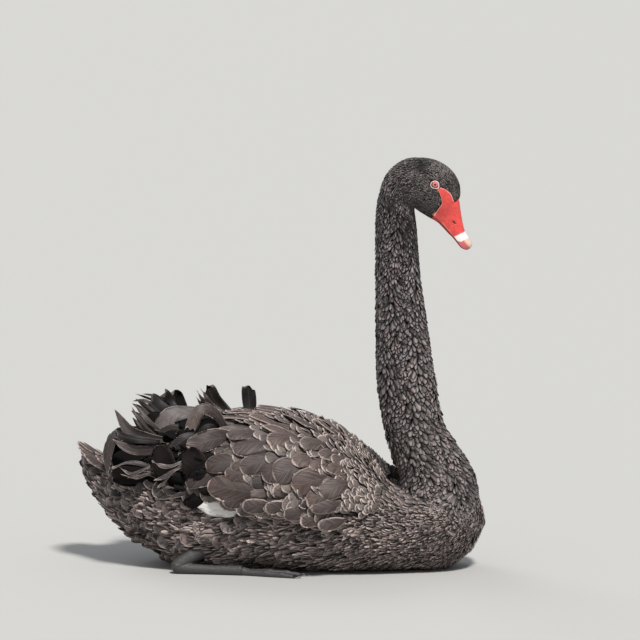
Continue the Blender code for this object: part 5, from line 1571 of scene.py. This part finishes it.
# Legs and feet: dark grey scaled skin over bone, folded flat on each side of the belly. The leg
# comes out of the flank, bends at the hock and runs forward to three webbed toes and a hind toe.
LEG_PATH = np.array([
    # x, y, z and radius
    (-0.066, 0.078, 0.044, 0.0120), (-0.098, 0.091, 0.032, 0.0105), (-0.122, 0.099, 0.0180, 0.0095),
    (-0.130, 0.1015, 0.0105, 0.0090), (-0.118, 0.1020, 0.0078, 0.0078), (-0.078, 0.1030, 0.0068, 0.0066),
    (-0.036, 0.1045, 0.0068, 0.0072),
])
HEEL = (-0.036, 0.1045)
TOES = (
    # length, degrees outwards, radius
    (0.078, -14, 0.0046), (0.090, 0, 0.0050), (0.084, 13, 0.0046),
)
HOCK = 3                        # the point of the path at the hock, which has a knob
PLATE_STEP = 0.0032             # length of a plate of horny skin
FLOOR_GAP = 0.0002              # least height of legs and feet over the floor
WEB_EDGE = (0.070, 0.081, 0.0755)   # from the heel to the web's edge along each toe
LEG_VOXEL = 0.0007


def tube_round(centre, radius, points, scute=0.0):
    """Sections round a path, lying on the floor where they reach it: point = middle + radius *
    (side * cos(a) + up * sin(a)). The upper side carries plates: the radius rises by a share of
    itself, scute, towards the end of each plate."""
    along = unit(np.gradient(centre, axis=0))
    side = unit(np.cross(along, (0, 0, 1.0)))
    up = np.cross(side, along)
    run = np.concatenate([[0], np.cumsum(np.linalg.norm(np.diff(centre, axis=0), axis=1))])
    a = np.linspace(0, 2 * math.pi, points, endpoint=False)
    plate = scute * ((run / PLATE_STEP) % 1)[:, None] * np.maximum(np.sin(a), 0)
    reach = (radius[:, None] * (1 + plate))[..., None]
    way = side[:, None] * np.cos(a)[:, None] + up[:, None] * np.sin(a)[:, None]
    ring = centre[:, None] + reach * way
    ring[..., 2] = np.maximum(ring[..., 2], FLOOR_GAP)
    return ring


def joined(name, rings_list, flip, voxel, rounds):
    """Lofts through lists of rings, flipped to one side and, given a voxel, merged into one
    surface."""
    points, faces, shift = [], [], 0
    for rings in rings_list:
        faces += [[i + shift for i in face] for face in tube_faces(*rings.shape[:2])]
        points.append((rings * flip).reshape(-1, 3))
        shift += rings.shape[0] * rings.shape[1]
    made = mesh_piece(name, np.concatenate(points), faces)
    return one_surface(made, voxel, rounds) if voxel else made


def leg_rings():
    """The leg through its path, with a knob at the hock."""
    t = np.linspace(0, 6, 150)
    path = through(np.column_stack([np.arange(7.0), LEG_PATH]), t)
    radius = path[:, 3] + 0.0010 * np.exp(-((t - HOCK) / 0.35) ** 2)
    return [tube_round(path[:, :3], radius, 28, 0.05)]


def toe_path(length, spread, radius, v):
    """Middle and radius along a toe, with knuckles at 0.44 and 0.72 of its length."""
    swell = np.interp(v, (0.0, 0.12, 0.44, 0.72, 0.90, 1.0), (1.3, 1.05, 1.0, 0.85, 0.62, 0.30))
    swell = swell + 0.10 * (np.exp(-((v - 0.44) / 0.05) ** 2) + np.exp(-((v - 0.72) / 0.04) ** 2))
    a = math.radians(spread)
    r = radius * swell
    x, y = HEEL[0] + length * v * math.cos(a), HEEL[1] + length * v * math.sin(a)
    return np.stack([x, y, r * 0.86], -1), r


def web_rings():
    """The web, a sheet from the heel to an edge that dips 6 mm between the toes, ribbed along the
    way it folds. Rings run over its top and back under it."""
    turns = [turn for _, turn, _ in TOES]
    spread = np.radians(np.linspace(turns[0], turns[2], 61))
    tips = np.interp(np.degrees(spread), turns, WEB_EDGE)
    between = np.abs(np.degrees(spread)) / np.where(spread < 0, -turns[0], turns[2])
    dip = np.sin(math.pi * between) * 0.0065
    v = np.linspace(0.02, 1, 40)[:, None]
    reach = (tips - dip) * v
    x, y = HEEL[0] + reach * np.cos(spread), HEEL[1] + reach * np.sin(spread)
    top = 0.0019 + 0.0004 * np.sin(spread * 90) * v - 0.0007 * v
    upper, lower = np.stack([x, y, top], -1), np.stack([x, y, FLOOR_GAP + 0 * x], -1)
    return np.concatenate([upper, lower[:, ::-1]], axis=1)


def foot_rings():
    """The web, the three front toes over it, and the small hind toe, inwards and back."""
    v = np.linspace(0, 1, 90)
    rings = [web_rings()]
    for length, spread, radius in TOES:
        centre, r = toe_path(length, spread, radius, v * 0.97)
        rings.append(tube_round(centre, r, 20, 0.07))
    hind = np.array([
        (HEEL[0] + 0.008, HEEL[1] - 0.004, 0.0038, 0.0032), (HEEL[0], HEEL[1] - 0.012, 0.0034, 0.0032),
        (HEEL[0] - 0.005, HEEL[1] - 0.017, 0.0026, 0.0024),
    ])
    path = through(np.column_stack([np.arange(3.0), hind]), np.linspace(0, 2, 30))
    return rings + [tube_round(path[:, :3], path[:, 3], 16, 0.05)]


def claw_rings():
    """A curved tapering claw on each toe: it leaves the toe level and bends down to the floor. Its
    radius falls as (1 - v) ** 0.7."""
    v = np.linspace(0, 1, 24)
    claws = []
    for length, spread, radius in TOES:
        a = math.radians(spread)
        base, _ = toe_path(length, spread, radius, np.array([0.93]))
        way = np.array([math.cos(a), math.sin(a), 0.0])
        centre = base + way * (0.0125 * v)[:, None]
        centre[:, 2] = 0.0026 + 0.0010 * np.sin(math.pi * v) - 0.0016 * v**2
        claws.append(tube_round(centre, 0.0021 * (1 - v) ** 0.7 + 0.0002, 16))
    base = np.array([HEEL[0] - 0.0048, HEEL[1] - 0.0165, 0.0])
    centre = base + np.array([-0.55, -0.83, 0]) * (0.0055 * v)[:, None]
    centre[:, 2] = 0.0024 - 0.0012 * v
    return claws + [tube_round(centre, 0.0015 * (1 - v) ** 0.7 + 0.0002, 12)]


def scaled_paint():
    """Dark grey skin in small many-sided scales with paler seams."""
    paint, tree, shader = plain_paint("scaled_skin", (0.035, 0.034, 0.036), 0.5)
    _, maths, mixed, noise = node_tools(tree)
    place = tree.nodes.new("ShaderNodeTexCoord").outputs["Object"]
    scales = tree.nodes.new("ShaderNodeTexVoronoi")
    scales.feature = "DISTANCE_TO_EDGE"
    scales.inputs["Scale"].default_value = 520
    tree.links.new(place, scales.inputs["Vector"])
    seam = maths("MULTIPLY", scales.outputs["Distance"], 6.0, clamp=True)
    body = mixed(noise(place, 90.0, 3.0), (0.018, 0.017, 0.019, 1), (0.046, 0.044, 0.045, 1))
    tree.links.new(mixed(seam, (0.080, 0.076, 0.074, 1), body), shader.inputs["Base Color"])
    relief = tree.nodes.new("ShaderNodeBump")
    relief.inputs["Strength"].default_value = 0.6
    relief.inputs["Distance"].default_value = 0.0003
    tree.links.new(seam, relief.inputs["Height"])
    tree.links.new(relief.outputs["Normal"], shader.inputs["Normal"])
    return paint


scaled_skin = scaled_paint()
claw_horn, _, _ = plain_paint("claw_horn", (0.012, 0.011, 0.011), 0.28)
for side, sign in (("left", 1), ("right", -1)):
    flip = np.array([1, sign, 1])
    leg = joined(f"scaled_leg_{side}", leg_rings(), flip, LEG_VOXEL, 2)
    foot = joined(f"webbed_foot_{side}", foot_rings(), flip, LEG_VOXEL, 2)
    claws = joined(f"claws_{side}", claw_rings(), flip, 0.0, 0)
    for piece, paint in ((leg, scaled_skin), (foot, scaled_skin), (claws, claw_horn)):
        piece.data.materials.append(paint)
        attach(piece, "root")
    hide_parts(f"leg_{side}")
    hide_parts(f"foot_{side}")
